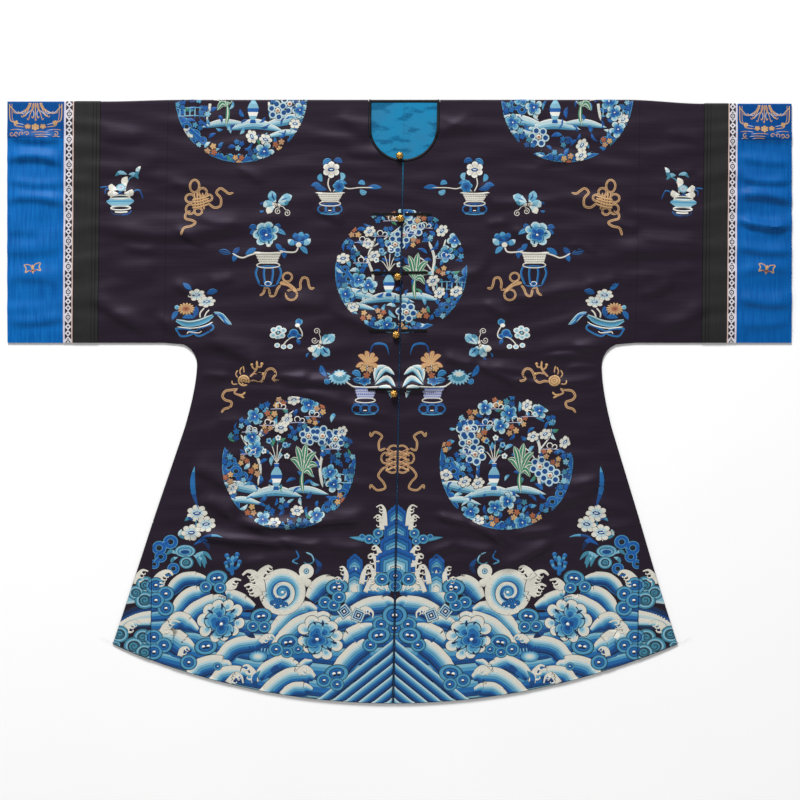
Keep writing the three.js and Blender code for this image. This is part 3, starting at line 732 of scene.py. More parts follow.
piping = Finish("piping_silk", Roughness=0.5, Specular_IOR_Level=0.25)
fibre = piping.noise(piping.place(), 900.0, 2.0)
_, lie = piping.parts(piping.place())
brighter = piping.mix(fibre, linear(16, 92, 128), linear(36, 128, 162))
duller = piping.mix(fibre, linear(8, 34, 62), linear(20, 56, 90))
# The piping is a brighter blue near the neck and dark navy further down the front, by height on the table.
piping.feed("Base Color", piping.mix((lie - 0.36) * 12.0, duller, brighter))
piping.relief(fibre, 0.0002, 0.4)
PIPING_AT = 0.78        # middle of each piping, out from the centre line
drops = np.linspace(NECK_DEPTH + BINDING + 0.3, COAT_LENGTH - 0.5, 260)
for side, word in ((-1, "left"), (1, "right")):
    across = np.full_like(drops, side * PIPING_AT)
    x, y = lay(across, drops)
    line = joined(x, y, front_height(across, drops) - 0.35)
    points, faces, uv = sweep(line, 0.62, 0.75, 6)
    piece = new_object(f"silk_edge_piping_{word}", points, faces, piping, uvs={"weave": uv / 1000})
    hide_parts(f"edge_piping_{word}")

cord = Finish("black_cord", Roughness=0.7, Specular_IOR_Level=0.2)
length_mm, round_share = cord.parts(cord.uv("weave"))
twist = ((length_mm * 700.0 + round_share * 2000.0).one("FRACT") - 0.5).one("ABSOLUTE")
cord.feed("Base Color", cord.mix(twist, linear(8, 7, 9), linear(24, 20, 24)))
cord.relief(twist, 0.0005, 0.6)
BAR_LIFT = 8.0          # each bar lies this much nearer the shoulder than its ball
CORD_APART = 1.3        # each cord's middle from the middle of its bar
CORD_HALF = (1.2, 1.1)  # half its width and half its height
BARS = {
    # button: its drop, the left bar's outer and inner end, the right bar's inner and outer end
    2: (214.0, -52, -1, 4, 50),
    3: (319.0, -52, -4, 2, 46),
    4: (423.0, -54, -5, 2, 46),
    5: (529.0, -54, -7, 1, 44),
}


def bar_cords(outer, inner, drop):
    """Two cords side by side along the bar, joined by a bend at its outer end."""
    straight = np.linspace(inner, outer, 16)
    turn = np.sign(outer - inner)
    bend = np.radians(np.linspace(90, -90, 7)[1:-1])
    across = np.concatenate([straight, outer + turn * CORD_APART * np.cos(bend), straight[::-1]])
    near, far = np.full(16, drop - CORD_APART), np.full(16, drop + CORD_APART)
    down = np.concatenate([far, drop + CORD_APART * np.sin(bend), near])
    x, y = lay(across, down)
    return sweep(joined(x, y, front_height(across, down) + 1.25), *CORD_HALF, 8)


for number, (drop, left_out, left_in, right_in, right_out) in BARS.items():
    for word, outer, inner in (("left", left_out, left_in), ("right", right_out, right_in)):
        points, faces, uv = bar_cords(outer, inner, drop - BAR_LIFT)
        piece = new_object(f"cord_bar_{word}_{number}", points, faces, cord, uvs={"weave": uv / 1000})
        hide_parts(f"bar_{word}_{number}")

# ---------------------------------------------------------------------------------------------
# Ball buttons. Hollow gilt balls stamped with flutes that meet at a rosette, tarnished and dulled
# in patches, each set where its button lies; the loops they hang by from the cords are not drawn.
BALLS = 5
BALL = 7.0
FLUTES = 7


def fluted_ball():
    """A ball on its side: longitude and latitude, with grooves that are deepest midway between
    the poles and a raised rosette at the pole that faces up."""
    tilt = np.linspace(0, math.pi, 33)[:, None]
    round_it = np.linspace(0, 2 * math.pi, 57)[None, :-1]
    groove = 0.2 * np.abs(np.cos(FLUTES * round_it / 2)) ** 0.6 * np.sin(tilt) ** 0.5
    rosette = 0.14 * np.exp(-(tilt / 0.34) ** 2)
    radius = BALL * (0.82 + groove + rosette - 0.08 * np.exp(-((tilt - 0.62) / 0.12) ** 2))
    z = radius * np.cos(tilt) + 0 * round_it
    return joined(radius * np.sin(tilt) * np.cos(round_it), radius * np.sin(tilt) * np.sin(round_it), z)


gilt = Finish("worn_gilt", Metallic=1.0, Roughness=0.32)
tarnish = gilt.noise(gilt.place(), 260.0, 3.0)
pits = gilt.noise(gilt.place(), 900.0, 2.0)
gilt.feed("Base Color", gilt.mix(tarnish, linear(250, 208, 118), linear(176, 122, 54)))
gilt.feed("Roughness", 0.24 + 0.3 * tarnish)
gilt.relief(pits, 0.0003, 0.3)
ball_points = fluted_ball()
rows, columns = ball_points.shape[:2]
ring = np.arange(rows - 1)[:, None] * columns + np.arange(columns)
beside = np.arange(rows - 1)[:, None] * columns + np.roll(np.arange(columns), -1)
ball_faces = joined(ring, ring + columns, beside + columns, beside).reshape(-1, 4)
ball_points[0], ball_points[-1] = ball_points[0].mean(axis=0), ball_points[-1].mean(axis=0)
ball_faces[ball_faces < columns] = 0
ball_faces[ball_faces >= (rows - 1) * columns] = (rows - 1) * columns
ball_faces = [list(dict.fromkeys(face)) for face in ball_faces.tolist()]
for number in range(1, BALLS + 1):
    low, high = (np.array(corner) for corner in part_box(f"button_{number}"))
    place = ball_points.reshape(-1, 3) / 1000 + (low + high) / 2
    piece = new_object(f"gilt_button_{number}", place, ball_faces, gilt)
    piece.data.validate()
    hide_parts(f"button_{number}")

# ---------------------------------------------------------------------------------------------
# Embroidery. Untwisted silk in satin stitch, worked through the satin before the coat was made
# up. Motifs are set out in a unit of 1.8 mm, with x to the right and y down as on the left
# front, and are worked in mirror image on the right front and on the back.
UNIT = 1.8              # millimetres to one unit of the motifs
STITCH = 0.08           # height of the lowest stitches over the satin
LAYER = {1: 0.05, -1: 0.024}    # each overlapping shape lies this much higher, front and back
SUNK = -0.06            # the edge of each shape goes down through the satin
THREADS = {
    "ink": (20, 26, 36), "navy": (12, 38, 78), "deep": (12, 66, 124), "mid": (24, 98, 158),
    "sky": (74, 144, 180), "light": (122, 174, 194), "pale": (178, 202, 206), "cream": (212, 209, 197),
    "white": (232, 232, 224), "teal": (58, 124, 148), "dusk": (38, 82, 100), "tan": (180, 140, 104),
    "gold": (198, 158, 108), "rust": (162, 96, 66), "brown": (88, 62, 48), "green": (56, 126, 96),
    "lavender": (172, 174, 200), "cobalt": (14, 82, 154),
}
TONES = list(THREADS)


class Embroidery:
    """Gathers one piece's shapes on the pattern, then lays them all on the cloth as one mesh."""

    def __init__(self, name, side, face, inner, outer):
        self.name, self.side, self.face, self.inner, self.outer = name, side, face, inner, outer
        self.points, self.lifts, self.threads, self.loops, self.sizes, self.tones = [], [], [], [], [], []
        self.count, self.circle = 0, None

    def kept(self, points):
        """Points beyond the piece's own circle, seams and hem are brought back to them."""
        if self.circle:
            place, undo, radius = self.circle
            away = (points - place) @ undo.T
            share = np.minimum(1, radius / (np.hypot(*away.T) + 1e-9))
            points = place + (points - place) * share[:, None]
        down = np.minimum(np.abs(points[:, 1]), COAT_LENGTH)
        outer = self.outer(down) if callable(self.outer) else self.outer
        across = np.clip(self.side * points[:, 0], self.inner, outer)
        limit = hem_drop(across) - 1.2
        return self.side * across, np.clip(points[:, 1], -limit, limit)

    def take(self, points, lifts, faces, caps, tones, threads):
        """One shape: a grid's points and quads, a tone for each, and caps with a tone each."""
        across, drop = self.kept(points)
        if np.ptp(across) < 0.6 or np.ptp(drop) < 0.6:
            return
        quads = points[faces]
        one, two = quads[:, 2] - quads[:, 0], quads[:, 3] - quads[:, 1]
        if np.sum(one[:, 0] * two[:, 1] - one[:, 1] * two[:, 0]) > 0:
            faces, caps = faces[:, ::-1], [cap[::-1] for cap in caps]
        self.points.append(joined(across, drop))
        self.lifts.append(lifts)
        self.threads.append(threads)
        self.loops.append(faces.ravel() + self.count)
        self.loops += [np.asarray(cap) + self.count for cap in caps]
        self.sizes += [np.full(len(faces), 4), np.array([len(cap) for cap in caps], dtype=int)]
        self.tones += [tones, np.full(len(caps), tones[-1])]
        self.count += len(points)

    def sew(self, finish):
        """Lays every shape on the cloth and gives each of its faces its thread's colour."""
        across, drop = np.concatenate(self.points).T
        place = surface(across, drop, np.concatenate(self.lifts))
        loops, sizes = np.concatenate(self.loops), np.concatenate(self.sizes)
        mesh = bpy.data.meshes.new(self.name)
        mesh.vertices.add(len(place))
        mesh.vertices.foreach_set("co", place.ravel())
        mesh.loops.add(len(loops))
        mesh.loops.foreach_set("vertex_index", loops.astype(np.int32))
        mesh.polygons.add(len(sizes))
        mesh.polygons.foreach_set("loop_start", np.concatenate([[0], np.cumsum(sizes)[:-1]]).astype(np.int32))
        mesh.update(calc_edges=True)
        table = np.array([[*linear(*THREADS[tone]), 1.0] for tone in TONES])
        colours = table[np.repeat(np.concatenate(self.tones), sizes)]
        mesh.attributes.new("thread", "FLOAT_COLOR", "CORNER").data.foreach_set("color", colours.ravel())
        lie = mesh.uv_layers.new(name="weave")
        lie.data.foreach_set("uv", (np.concatenate(self.threads)[loops] / 1000).ravel())
        mesh.polygons.foreach_set("use_smooth", [True] * len(sizes))
        mesh.materials.append(finish.material)
        piece = bpy.data.objects.new(self.name, mesh)
        bpy.context.collection.objects.link(piece)
        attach(piece, "root")


def polar(x, y, radius, start, end, count, squash=1.0):
    """Points round a centre between two angles in degrees, counted anticlockwise from x."""
    angle = np.radians(np.linspace(start, end, count))
    return joined(x + radius * np.cos(angle), y - radius * squash * np.sin(angle))


def curve(points, count):
    """A smooth line through a few points, each span a cubic that leaves its neighbours' slope."""
    p = np.asarray(points, float)
    ends = np.concatenate([2 * p[:1] - p[1:2], p, 2 * p[-1:] - p[-2:-1]])
    t = np.linspace(0, len(p) - 1, count)
    k = np.minimum(t.astype(int), len(p) - 2)
    f = (t - k)[:, None]
    a, b, c, d = (ends[k + i] for i in range(4))
    return 0.5 * (2 * b + (c - a) * f + (2 * a - 5 * b + 4 * c - d) * f ** 2 + (3 * b - a - 3 * c + d)
                  * f ** 3)


def bands(text):
    """Tones with their widths, such as "ink .5, cream 5", as tone numbers and widths."""
    pairs = [word.split() for word in text.split(",")]
    widths = [float(pair[1]) if len(pair) > 1 else 1.0 for pair in pairs]
    return np.array([TONES.index(pair[0]) for pair in pairs]), np.array(widths)


class Needle:
    """Works shapes into one piece of embroidery from a place, turn and layer of its own."""

    def __init__(self, work, place, turn, layer=0):
        self.work, self.place, self.turn, self.layer = work, np.asarray(place, float), turn, layer

    def moved(self, x, y, angle=0.0, size=1.0, flip=1, layer=0):
        a = math.radians(angle)
        turn = size * np.array([[math.cos(a), math.sin(a)], [-math.sin(a), math.cos(a)]]) @ np.diag([flip,
            1.0])
        return Needle(self.work, self.place + self.turn @ (x, y), self.turn @ turn, self.layer + layer)

    def above(self, layer):
        return Needle(self.work, self.place, self.turn, self.layer + layer)

    def take(self, grid, lifts, faces, caps, tones, threads):
        base = STITCH + LAYER[self.work.face] * self.layer
        lifts = np.where(lifts < 0, SUNK, base + lifts)
        points = self.place + grid.reshape(-1, 2) @ self.turn.T
        self.work.take(points, lifts.ravel(), faces, caps, tones, threads.reshape(-1, 2))

    def strip(self, path, half, text, across=False, rise=0.10, level=None):
        """Stitches along a path, in tones that follow it or, as bands, lie side by side."""
        path = np.asarray(path, float)
        half = np.broadcast_to(np.asarray(half, float), len(path))
        if self.work.face < 0 and len(path) > 8:        # the back is worked a little coarser
            kept = np.r_[0:len(path) - 1:2, len(path) - 1]
            path, half = path[kept], half[kept]
        tones, widths = bands(text)
        if half[0] > 0.15:
            path = np.concatenate([path[:1], path[:1] + 0.12 * (path[1:2] - path[:1]), path[1:]])
            half = np.concatenate([half[:1], half])
        if half[-1] > 0.15:
            path = np.concatenate([path[:-1], path[-1:] - 0.12 * (path[-1:] - path[-2:-1]), path[-1:]])
            half = np.concatenate([half, half[-1:]])
        ahead = np.gradient(path, axis=0)
        if np.allclose(path[0], path[-1]):
            ahead[0] = ahead[-1] = ahead[0] + ahead[-1]
        if level is None:
            level = joined(-ahead[:, 1], ahead[:, 0])
        level = np.broadcast_to(np.asarray(level, float), ahead.shape).copy()
        level /= np.linalg.norm(level, axis=1, keepdims=True) + 1e-9
        if across:
            share = np.cumsum(widths) / widths.sum() * 2 - 1
            v = np.concatenate([[-1.0, -0.985], share[:-1], [0.985, 1.0]])
            dome = np.where(np.abs(v) > 0.99, -1.0, 0.0) + rise * 0.4 * (1 - v ** 2)
            column = np.concatenate([tones[:1], tones, tones[-1:]])
            colour = np.tile(column, len(path) - 1)
        else:
            v = np.array([-1.0, -0.72, 0.0, 0.72, 1.0])
            dome = np.array([-1.0, 0.7, 1.0, 0.7, -1.0]) * np.array([1, rise, rise, rise, 1])
            row = np.arange(len(path) - 1) / (len(path) - 1) * widths.sum()
            row = np.minimum(row, widths.sum() - 1e-6)
            colour = np.repeat(tones[np.searchsorted(np.cumsum(widths), row, side="right")], len(v) - 1)
        grid = path[:, None] + level[:, None] * (half[:, None] * v)[:, :, None]
        lifts = np.broadcast_to(dome, grid.shape[:2]).copy()
        for end in (0, -1):
            if half[end] > 0.15:
                lifts[end] = -1
        length = np.concatenate([[0], np.cumsum(np.hypot(*np.diff(path, axis=0).T))]) * UNIT
        threads = np.stack(np.broadcast_arrays(length[:, None], half[:, None] * v * UNIT), axis=-1)
        self.take(grid, lifts, grid_faces(*grid.shape[:2]), [], colour, threads)

    def fan(self, outline, centre, text, cuts=None, dome=0.12):
        """Rings of stitches from a closed outline in to a centre, one tone each. A cut is a
        share of the outline's points, by number, that is left as a dark line between petals."""
        outline = np.asarray(outline, float)
        if self.work.face < 0 and cuts is None and len(outline) > 12:
            outline = outline[::2]
        tones, widths = bands(text)
        share = 1 - np.concatenate([[0], np.cumsum(widths) / widths.sum()])
        share = np.concatenate([[1.0, 0.985], share[1:-1], [0.06]])
        grid = np.asarray(centre) + share[:, None, None] * (outline - centre)
        rows, columns = grid.shape[:2]
        lifts = np.concatenate([[-1.0], dome * (1 - share[1:] ** 2)])[:, None] + np.zeros(columns)
        here = np.arange(rows - 1)[:, None] * columns + np.arange(columns)
        beside = np.arange(rows - 1)[:, None] * columns + np.roll(np.arange(columns), -1)
        faces = joined(here, here + columns, beside + columns, beside).reshape(-1, 4)
        ring = np.concatenate([tones[:1], tones])[:rows - 1]
        colour = np.repeat(ring, columns).reshape(rows - 1, columns)
        if cuts is not None:
            colour[:, cuts] = TONES.index("ink")
        away = np.hypot(*(outline - centre).T) * UNIT
        round_it = np.cumsum(np.full(columns, 1.3)) + 0 * share[:, None]
        threads = joined(round_it, share[:, None] * away)
        cap = (rows - 1) * columns + np.arange(columns)[::-1]
        self.take(grid, lifts, faces, [cap], colour.ravel(), threads)

    def disc(self, x, y, radius, text, squash, count=20):
        self.fan(polar(x, y, radius, 0, 360, count + 1, squash)[:-1], (x, y), text)

    def bloom(self, x, y, radius, petals, text, notch=0.3, angle=0.0, squash=1.0):
        """A round of rounded petals with a dark line between each two."""
        share = np.array([0.0, 0.07, 0.24, 0.5, 0.76, 0.93])
        if radius < 6.0:
            share = np.array([0.0, 0.07, 0.3, 0.7, 0.93])
        if self.work.face < 0:
            share = np.array([0.0, 0.12, 0.42, 0.78])
        inside = np.tile(share, petals)
        around = np.repeat(np.arange(petals), len(share)) + inside
        cup = np.abs(np.sin(math.pi * np.clip((inside - 0.035) / 0.93, 0, 1))) ** 0.7
        reach = radius * (1 - notch + notch * cup)
        turn = math.radians(angle) + around / petals * 2 * math.pi
        outline = joined(x + reach * np.cos(turn), y - squash * reach * np.sin(turn))
        self.fan(outline, (x, y), text, np.arange(petals) * len(share))

    def blade(self, points, width, text, bend=1.0, count=9, across=False):
        """A leaf or petal that tapers to both ends, widest nearer the far end as bend grows."""
        t = np.linspace(0, 1, count)
        half = width / 2 * np.sin(math.pi * t ** bend) ** 0.8
        self.strip(curve(points, count), half, text, across, rise=0.12)

    def leaf(self, points, width, text):
        """A pointed leaf: its two halves in the first tone, its edges and midrib in the last."""
        points = np.asarray(points, float)
        straight = points[0] + np.linspace(0, 1, len(points))[:, None] * (points[-1] - points[0])
        points = 0.5 * (points + straight)
        tones = [word.split()[0] for word in text.split(",")]
        bands_across = f"{tones[-1]} .5, {tones[0]} 1.1, {tones[-1]} .4, {tones[0]} 1.1, {tones[-1]} .5"
        self.blade(points, width, bands_across, across=True)

    def cordlet(self, points, width, text, count=14, across=False):
        """A couched cord of even width through a few points."""
        t = np.linspace(0, 1, count)
        half = width / 2 * np.minimum(1, 0.25 + 5 * np.sin(math.pi * t))
        self.strip(curve(points, count), half, text, across=across)


def cloud_head(n, x, y, size, eyes, turn=0.0):
    """A rounded cloud: an outlined ring of light blue round a deep heart with white commas."""
    n = n.moved(x, y, turn, size)
    wide = 11.4 if eyes == 2 else 9.2
    n.fan(polar(0, 0, 1, 0, 360, 25)[:-1] * (wide, 8.4), (0, 0),
          "ink .6, teal .6, sky 2.0, navy .7, mid 2.0, deep 2.6")
    for away in ((-2.4, 2.4) if eyes == 2 else (0.4,)):
        n.above(2).disc(away * 0.8, 0.9, 1.9, "ink", 0.9, 8)
        n.above(3).disc(away, 0, 1.8, "white", 0.72, 8)


def cloud_spiral(n, x, y, size, flip=1):
    """A cloud of grey-blue with a spiral left dark in it."""
    n = n.moved(x, y, size=size, flip=flip)
    n.disc(0, 0, 10.2, "ink .6, teal 1.6, light 1.6, ink .5, dusk 1, teal 4", 0.86, 24)
    turn = np.linspace(0, 3.4 * math.pi, 26)
    reach = 0.7 + 5.4 * turn / turn[-1]
    n.above(2).strip(joined(reach * np.cos(turn), -0.86 * reach * np.sin(turn)), 0.5, "ink")


SWELL = "ink .5, cream 4.6, pale 2, light 2, ink .2, sky 2, mid 2.2, ink .15, deep 2.4, navy 1.6, mid 1.6"


def wave(n, points, width):
    """One wave: bands of stitch from its cream crest, given left to right, in to navy."""
    crest = curve(points, 4 * len(points))
    ahead = np.gradient(crest, axis=0)
    level = joined(-ahead[:, 1], ahead[:, 0])
    level /= np.linalg.norm(level, axis=1, keepdims=True)
    half = width / 2 * np.interp(np.linspace(0, 1, len(crest)), [0, 0.16, 0.78, 1], [0.6, 1, 1, 0.35])
    n.strip(crest + level * half[:, None], half, SWELL, across=True)


def foam(n, hand, width, points):
    """A breaking crest: a cream body from its foot up to a tip that curls to one hand, with small
    hooked fingers along its inside."""
    count = 5 * len(points)
    body = curve(points, count)
    half = width / 2 * np.interp(np.linspace(0, 1, count), [0, 0.3, 0.55, 0.75, 1],
                                 [1.0, 0.85, 0.48, 0.3, 0.2])
    text = "ink .5, cream .6, cream 6, cream .6"
    n.strip(body, half, text if hand > 0 else ", ".join(text.split(", ")[::-1]), across=True)
    ahead = np.gradient(body, axis=0)
    ahead /= np.linalg.norm(ahead, axis=1, keepdims=True)
    inward = hand * joined(-ahead[:, 1], ahead[:, 0])
    reach = np.clip(width / 6.5, 0.8, 1.2)
    steps = max(2, round(0.13 * np.hypot(*np.diff(body, axis=0).T).sum()))
    for k in np.linspace(0.14 * count, 0.5 * count, steps).astype(int):
        edge = body[k] + inward[k] * half[k]
        out, on = reach * inward[k], reach * ahead[k]
        hook = [edge + (a * out + b * on) for a, b in ((-1, 0), (1.3, 0.1), (2.7, 0.9), (3.3, 2.2),
                                                       (2.4, 2.9))]
        n.above(2).strip(hook, reach * np.array([1.1, 0.85, 0.6, 0.5, 0.3]), "cream")


def nicks(n, x, y, turn):
    """Four small dark hooks that draw the fingers of a crest on its cream ground."""
    for k in range(4):
        n.moved(x, y, turn).strip(polar(2.6 * k - 3.9, 0.5 * (k - 1.5) ** 2, 1.3, 200, 10, 6), 0.32, "ink")


def whirl(n, x, y):
    """A round whirlpool: bands from cream to navy, a white eye that coils, a cloud at its foot."""
    n = n.moved(x, y)
    n.disc(0, 0, 23.8, "ink .6, cream 4.8, pale 1.7, light 1.8, sky 2.4, mid 2.6, navy 1.5, mid 2.5, sky 4",
           1.0, 40)
    top = n.above(2)
    turn = np.linspace(-75, 400, 44)
    reach = np.interp(turn, [-75, 0, 90, 180, 270, 400], [12.6, 10.2, 8.2, 7.6, 5.6, 2.2])
    coil = joined(reach * np.cos(np.radians(turn)), -reach * np.sin(np.radians(turn)))
    top.strip(coil, np.interp(turn, [-75, 90, 270, 400], [3.0, 2.3, 1.7, 0.7]),
              "light .6, pale .9, cream 2.4, ink .5", across=True)
    top.above(2).disc(0.2, 0.6, 1.7, "white", 0.8, 8)
    top.above(1).strip(polar(-0.6, 0.2, 3.6, 190, -20, 12), np.linspace(0.3, 0.8, 12), "sky 1, teal 1")
    for cx, cy, size in ((-9, 11, 3.6), (-3.5, 9, 4.2), (2.4, 12.6, 3.8), (-4.6, 14, 3.8)):
        top.above(2).disc(cx, cy, size, "ink .5, mid 1.4, deep 1.4, sky .6", 0.8, 14)
    for cx, cy in ((-7.6, 12.6), (-1.2, 14.2), (3.6, 14.6)):
        top.above(3).disc(cx, cy, 1.1, "white", 0.7, 6)


def mountain(n, x, foot, tiers):
    """A peak in steps: arches one in front of another, each banded from deep blue in to cream."""
    steps = np.array([(0, 0), (0.26, 0.9), (0.33, 2.2), (0.60, 3.2), (0.68, 4.8), (0.93, 6.2), (1, 8.2),
                      (1, 12), (1, 20)])
    for k, (crown, half) in enumerate(tiers):
        low = foot if k == len(tiers) - 1 else tiers[k + 1][0] + 9
        right = steps[steps[:, 1] < low - crown] * (half, 1)
        right = np.concatenate([right, [(half, low - crown), (0.5 * half, low - crown)]])
        outline = np.concatenate([right, right[::-1][:-1] * (-1, 1)]) + (x, crown)
        text = ("ink .3, cobalt 1.6, deep 1.2, mid 1.4, ink .3, sky 1.5, "
                "ink .3, light 1.4, pale 1.2, ink .3, cream 3")
        n.above(k).fan(outline, (x, low - 0.4), text, dome=0.02)


def daisy(n, x, y, radius, angle, petals=7, squash=0.8,
          text="ink .3, cream 2.2, pale 2.4, light 1.2"):
    """A flower of broad pale petals about an oval ringed eye."""
    n = n.moved(x, y, angle * 0.2)
    n.bloom(0, 0, radius, petals, text, notch=0.26, angle=angle, squash=squash)
    n.above(1).disc(0, 0, radius * 0.5, "ink .4, cream .5, deep 1.3, mid 1.4", squash * 0.62, 14)
    n.above(3).strip([(-radius * 0.22, 0), (radius * 0.22, 0)], 0.55, "white")


def peony(n, x, y, size, angle, outer="ink .5, cream 2.8, pale 1.6, light 2, sky 1"):
    """A full flower: rounds of cupped petals, from pale outside to deep blue at its heart, with
    dark leaflets that show between. A small one has fewer petals."""
    n = n.moved(x, y, angle, size)
    full, small = size > 0.8, size < 0.5
    heart = (3 if small else 4, 7.0, 8.4, "ink .6, sky 1.2, cobalt 2.4, deep 2", 40)
    rounds = [(5, 14.5, 9.0, outer, 8) if small else (7, 14.5, 8.2, outer, 8), heart]
    if full:
        rounds = [(10, 17.2, 6.4, outer, 8), (5, 10.4, 7.4, "ink .6, light 1.2, sky 2.0, mid 1.6, deep 1",
                                              40),
                  (3, 5.2, 6.2, "ink .6, sky 1, mid 2.6, deep 3", 100)]
    for k, (count, reach, radius, text, start) in enumerate(rounds):
        for j in range(count):
            a = start + 360 * j / count + 9 * math.sin(3.1 * j + k)
            cx, cy = polar(0, 0, reach * (1 + 0.1 * math.sin(5 * j + k)), a, a, 1)[0]
            wide = radius * (1 + 0.18 * math.sin(7 * j + k))
            cup = polar(cx, cy, wide, 0, 360, 17 if full else 10, 0.88)[:-1]
            inner = 1 - 0.6 * radius / reach
            aside = np.array([-1.5 * k, 0.8 * k])
            n.above(1 + 2 * k + j % 2).fan(cup + aside, inner * np.array([cx, cy]) + aside, text)
    for j in range(8 if full else 3):
        a = 31 + 360 * j / (8 if full else 3) + 9 * math.sin(2.3 * j)
        tip = polar(0, 0, 17.5, a, a, 1)[0]
        n.above(3).blade([tip * 0.6, tip * 0.82 + (0.8, 0.4), tip * 1.04], 3.6, "navy", bend=1.2, count=6)
    n.above(7).disc(-3 if full else -1.5, 1.6, 2.3, "white", 0.8, 8)


def outlined(n, x, y, radius, angle):
    """A flower of round petals, each a pale ring round a dark blue heart."""
    n = n.moved(x, y, angle)
    for a in range(0, 360, 60):
        tip = polar(0, 0, radius * 0.64, a, a, 1)[0]
        n.disc(tip[0], tip[1], radius * 0.4, "ink .3, pale 1.3, deep 2.4", 1.0, 12)
    n.above(1).disc(0, 0, radius * 0.26, "cream 1, rust 1", 1.0, 8)


def leaf_clump(n, x, y, radius, angle, tones):
    """A tuft of three small lobed leaves, each outlined and veined."""
    for k, tone in enumerate(tones):
        cx, cy = polar(x, y, radius * (0.62 if k else 0.5), angle + 125 * k, angle + 125 * k, 1)[0]
        n.above(k).bloom(cx, cy, radius * 0.66, 5, f"ink .35, {tone} 1.5", notch=0.5, angle=angle + 50 * k)


def coral(n, x, y, size):
    """A forked branch with knobbed tips."""
    n = n.moved(x, y, size=size)
    n.cordlet([(0, 2), (-0.6, -6), (0.4, -14)], 3.4, "mid 1, sky 1")
    for points in ([(0, -1), (-4, -4), (-5, -8)], [(0, -3), (4, -5), (5.6, -9)],
                   [(0, -8), (-3, -11), (-4.6, -14)], [(0, -9), (3, -12), (3.6, -15)]):
        n.cordlet(points, 2.6, "mid 1, sky 1", 8)
        n.above(1).disc(*points[-1], 2.0, "mid 1", 1.0, 10)


def stone(n, places):
    """A garden rock worn through with holes."""
    for x, y, radius in places:
        n.disc(x, y, radius, "ink .3, sky .6, cobalt 2.6, sky .5, ink 2.4", 0.92, 16)
    for (x0, y0, r0), (x1, y1, r1) in zip(places[:-1], places[1:]):
        n.strip([(x0, y0), (x1, y1)], 0.45 * min(r0, r1), "sky .4, cobalt 2, sky .4", across=True)
    for x, y, radius in places:
        n.above(1).disc(x, y, radius * 0.42, "ink", 0.85, 10)


def basket(n, x, y, top, low, height, text="cream 1.6, ink .5"):
    """A woven basket or bowl: cross rows between a bound rim and a foot."""
    n = n.moved(x, y)
    rows = 21
    half = np.linspace(top / 2, low / 2, rows)
    n.strip(joined(np.zeros(rows), np.linspace(0, height, rows)), half, ", ".join([text] * 5), rise=0.05)
    for k in range(-4, 5):
        n.above(1).cordlet([(k * top / 10, 1.5), (k * low / 10, height - 1)], 0.9, text.split()[0], 4)
    n.above(2).cordlet([(-top / 2 - 1.4, -0.4), (0, 0.4), (top / 2 + 1.4, -0.4)], 1.5, "white 1, cream 3")
    n.above(1).strip(polar(0, height + 1.4, low / 2 + 2.0, 0, 360, 24, 0.24), 0.55, "cream")


def low_stand(n, x, y, wide=23.0):
    """A carved stand of three lobes on little feet."""
    n = n.moved(x, y, size=wide / 23)
    for cx, radius in ((-7.6, 4.4), (0, 4.6), (7.6, 4.4)):
        n.strip(polar(cx, 0, radius, 0, 360, 18, 0.85), 0.9, "ink .5, mid 2, deep .8", across=True)
    n.above(1).cordlet([(-11.5, -4.2), (0, -5.6), (11.5, -4.2)], 1.8, "deep")
    n.above(1).cordlet([(-10, 4.4), (0, 5.4), (10, 4.4)], 1.2, "sky")
    n.above(1).strip([(-1.6, 1.4), (1.6, 1.4)], 0.5, "white")


def tall_stand(n, x, y, wide, high):
    """A barrel stand of curved ribs between a rim and a foot."""
    n = n.moved(x, y)
    half = wide / 2
    for share in (-1, -0.36, 0.36, 1):
        out = share * half
        rib = [(out * 0.88, -high / 2), (out, -high * 0.12), (out * 0.66, high / 2)]
        n.cordlet(rib, 2.3, "sky .5, mid 2, deep 1", across=True)
    n.above(1).cordlet([(-half, -high / 2), (0, -high / 2 - 1.2), (half, -high / 2)], 1.6, "mid")
    n.above(1).disc(0, high / 2 - 1.6, 3.6, "white .6, mid 1.2, ink 1", 0.7, 12)
    n.above(1).cordlet([(-half * 0.66, high / 2), (0, high / 2 + 1.4), (half * 0.66, high / 2)], 1.3, "mid")


def neck_vase(n):
    """A daisy and a branch of buds in a woven basket on a low stand."""
    n.cordlet([(0, 22), (-3, 14), (-1, 4)], 1.3, "cream")
    n.cordlet([(2, 22), (9, 17), (18, 19), (28, 18), (42, 18)], 1.1, "cream", 20)
    for points, text in (([(-4, 20), (-12, 19), (-17, 16)], "deep 1, mid 1"),
                         ([(3, 14), (10, 11), (16, 14)], "mid 1, sky 1"),
                         ([(-10, 4), (-13, 8), (-9, 12)], "sky"),
                         ([(9, 3), (14, 6), (10, 11)], "light 1, sky 1"),
                         ([(-8, -4), (-6, -10), (0, -10)], "mid 1, sky 1"),
                         ([(2, -9), (7, -11), (11, -7)], "deep 1, mid 1"),
                         ([(27, 14), (31, 11), (34, 15)], "sky 1, mid 1"),
                         ([(29, 20), (32, 25), (36, 22)], "sky 1, light 1"),
                         ([(36, 18), (43, 16.4), (51, 18)], "mid 2, deep 1"),
                         ([(-20, 16), (-15, 13), (-9, 17)], "mid 1, deep 1")):
        n.leaf(points, 5.4, text)
    n.above(1).bloom(8, 17, 6.5, 6, "sky 1, mid 2, deep 2", angle=20)
    daisy(n.above(2), 0, 0, 9.6, 0, 6, 0.95, "ink .4, white 1, cream 2.4, pale 1")
    basket(n.above(2), -0.6, 23.5, 27, 17, 9)
    low_stand(n, -0.6, 39.5)


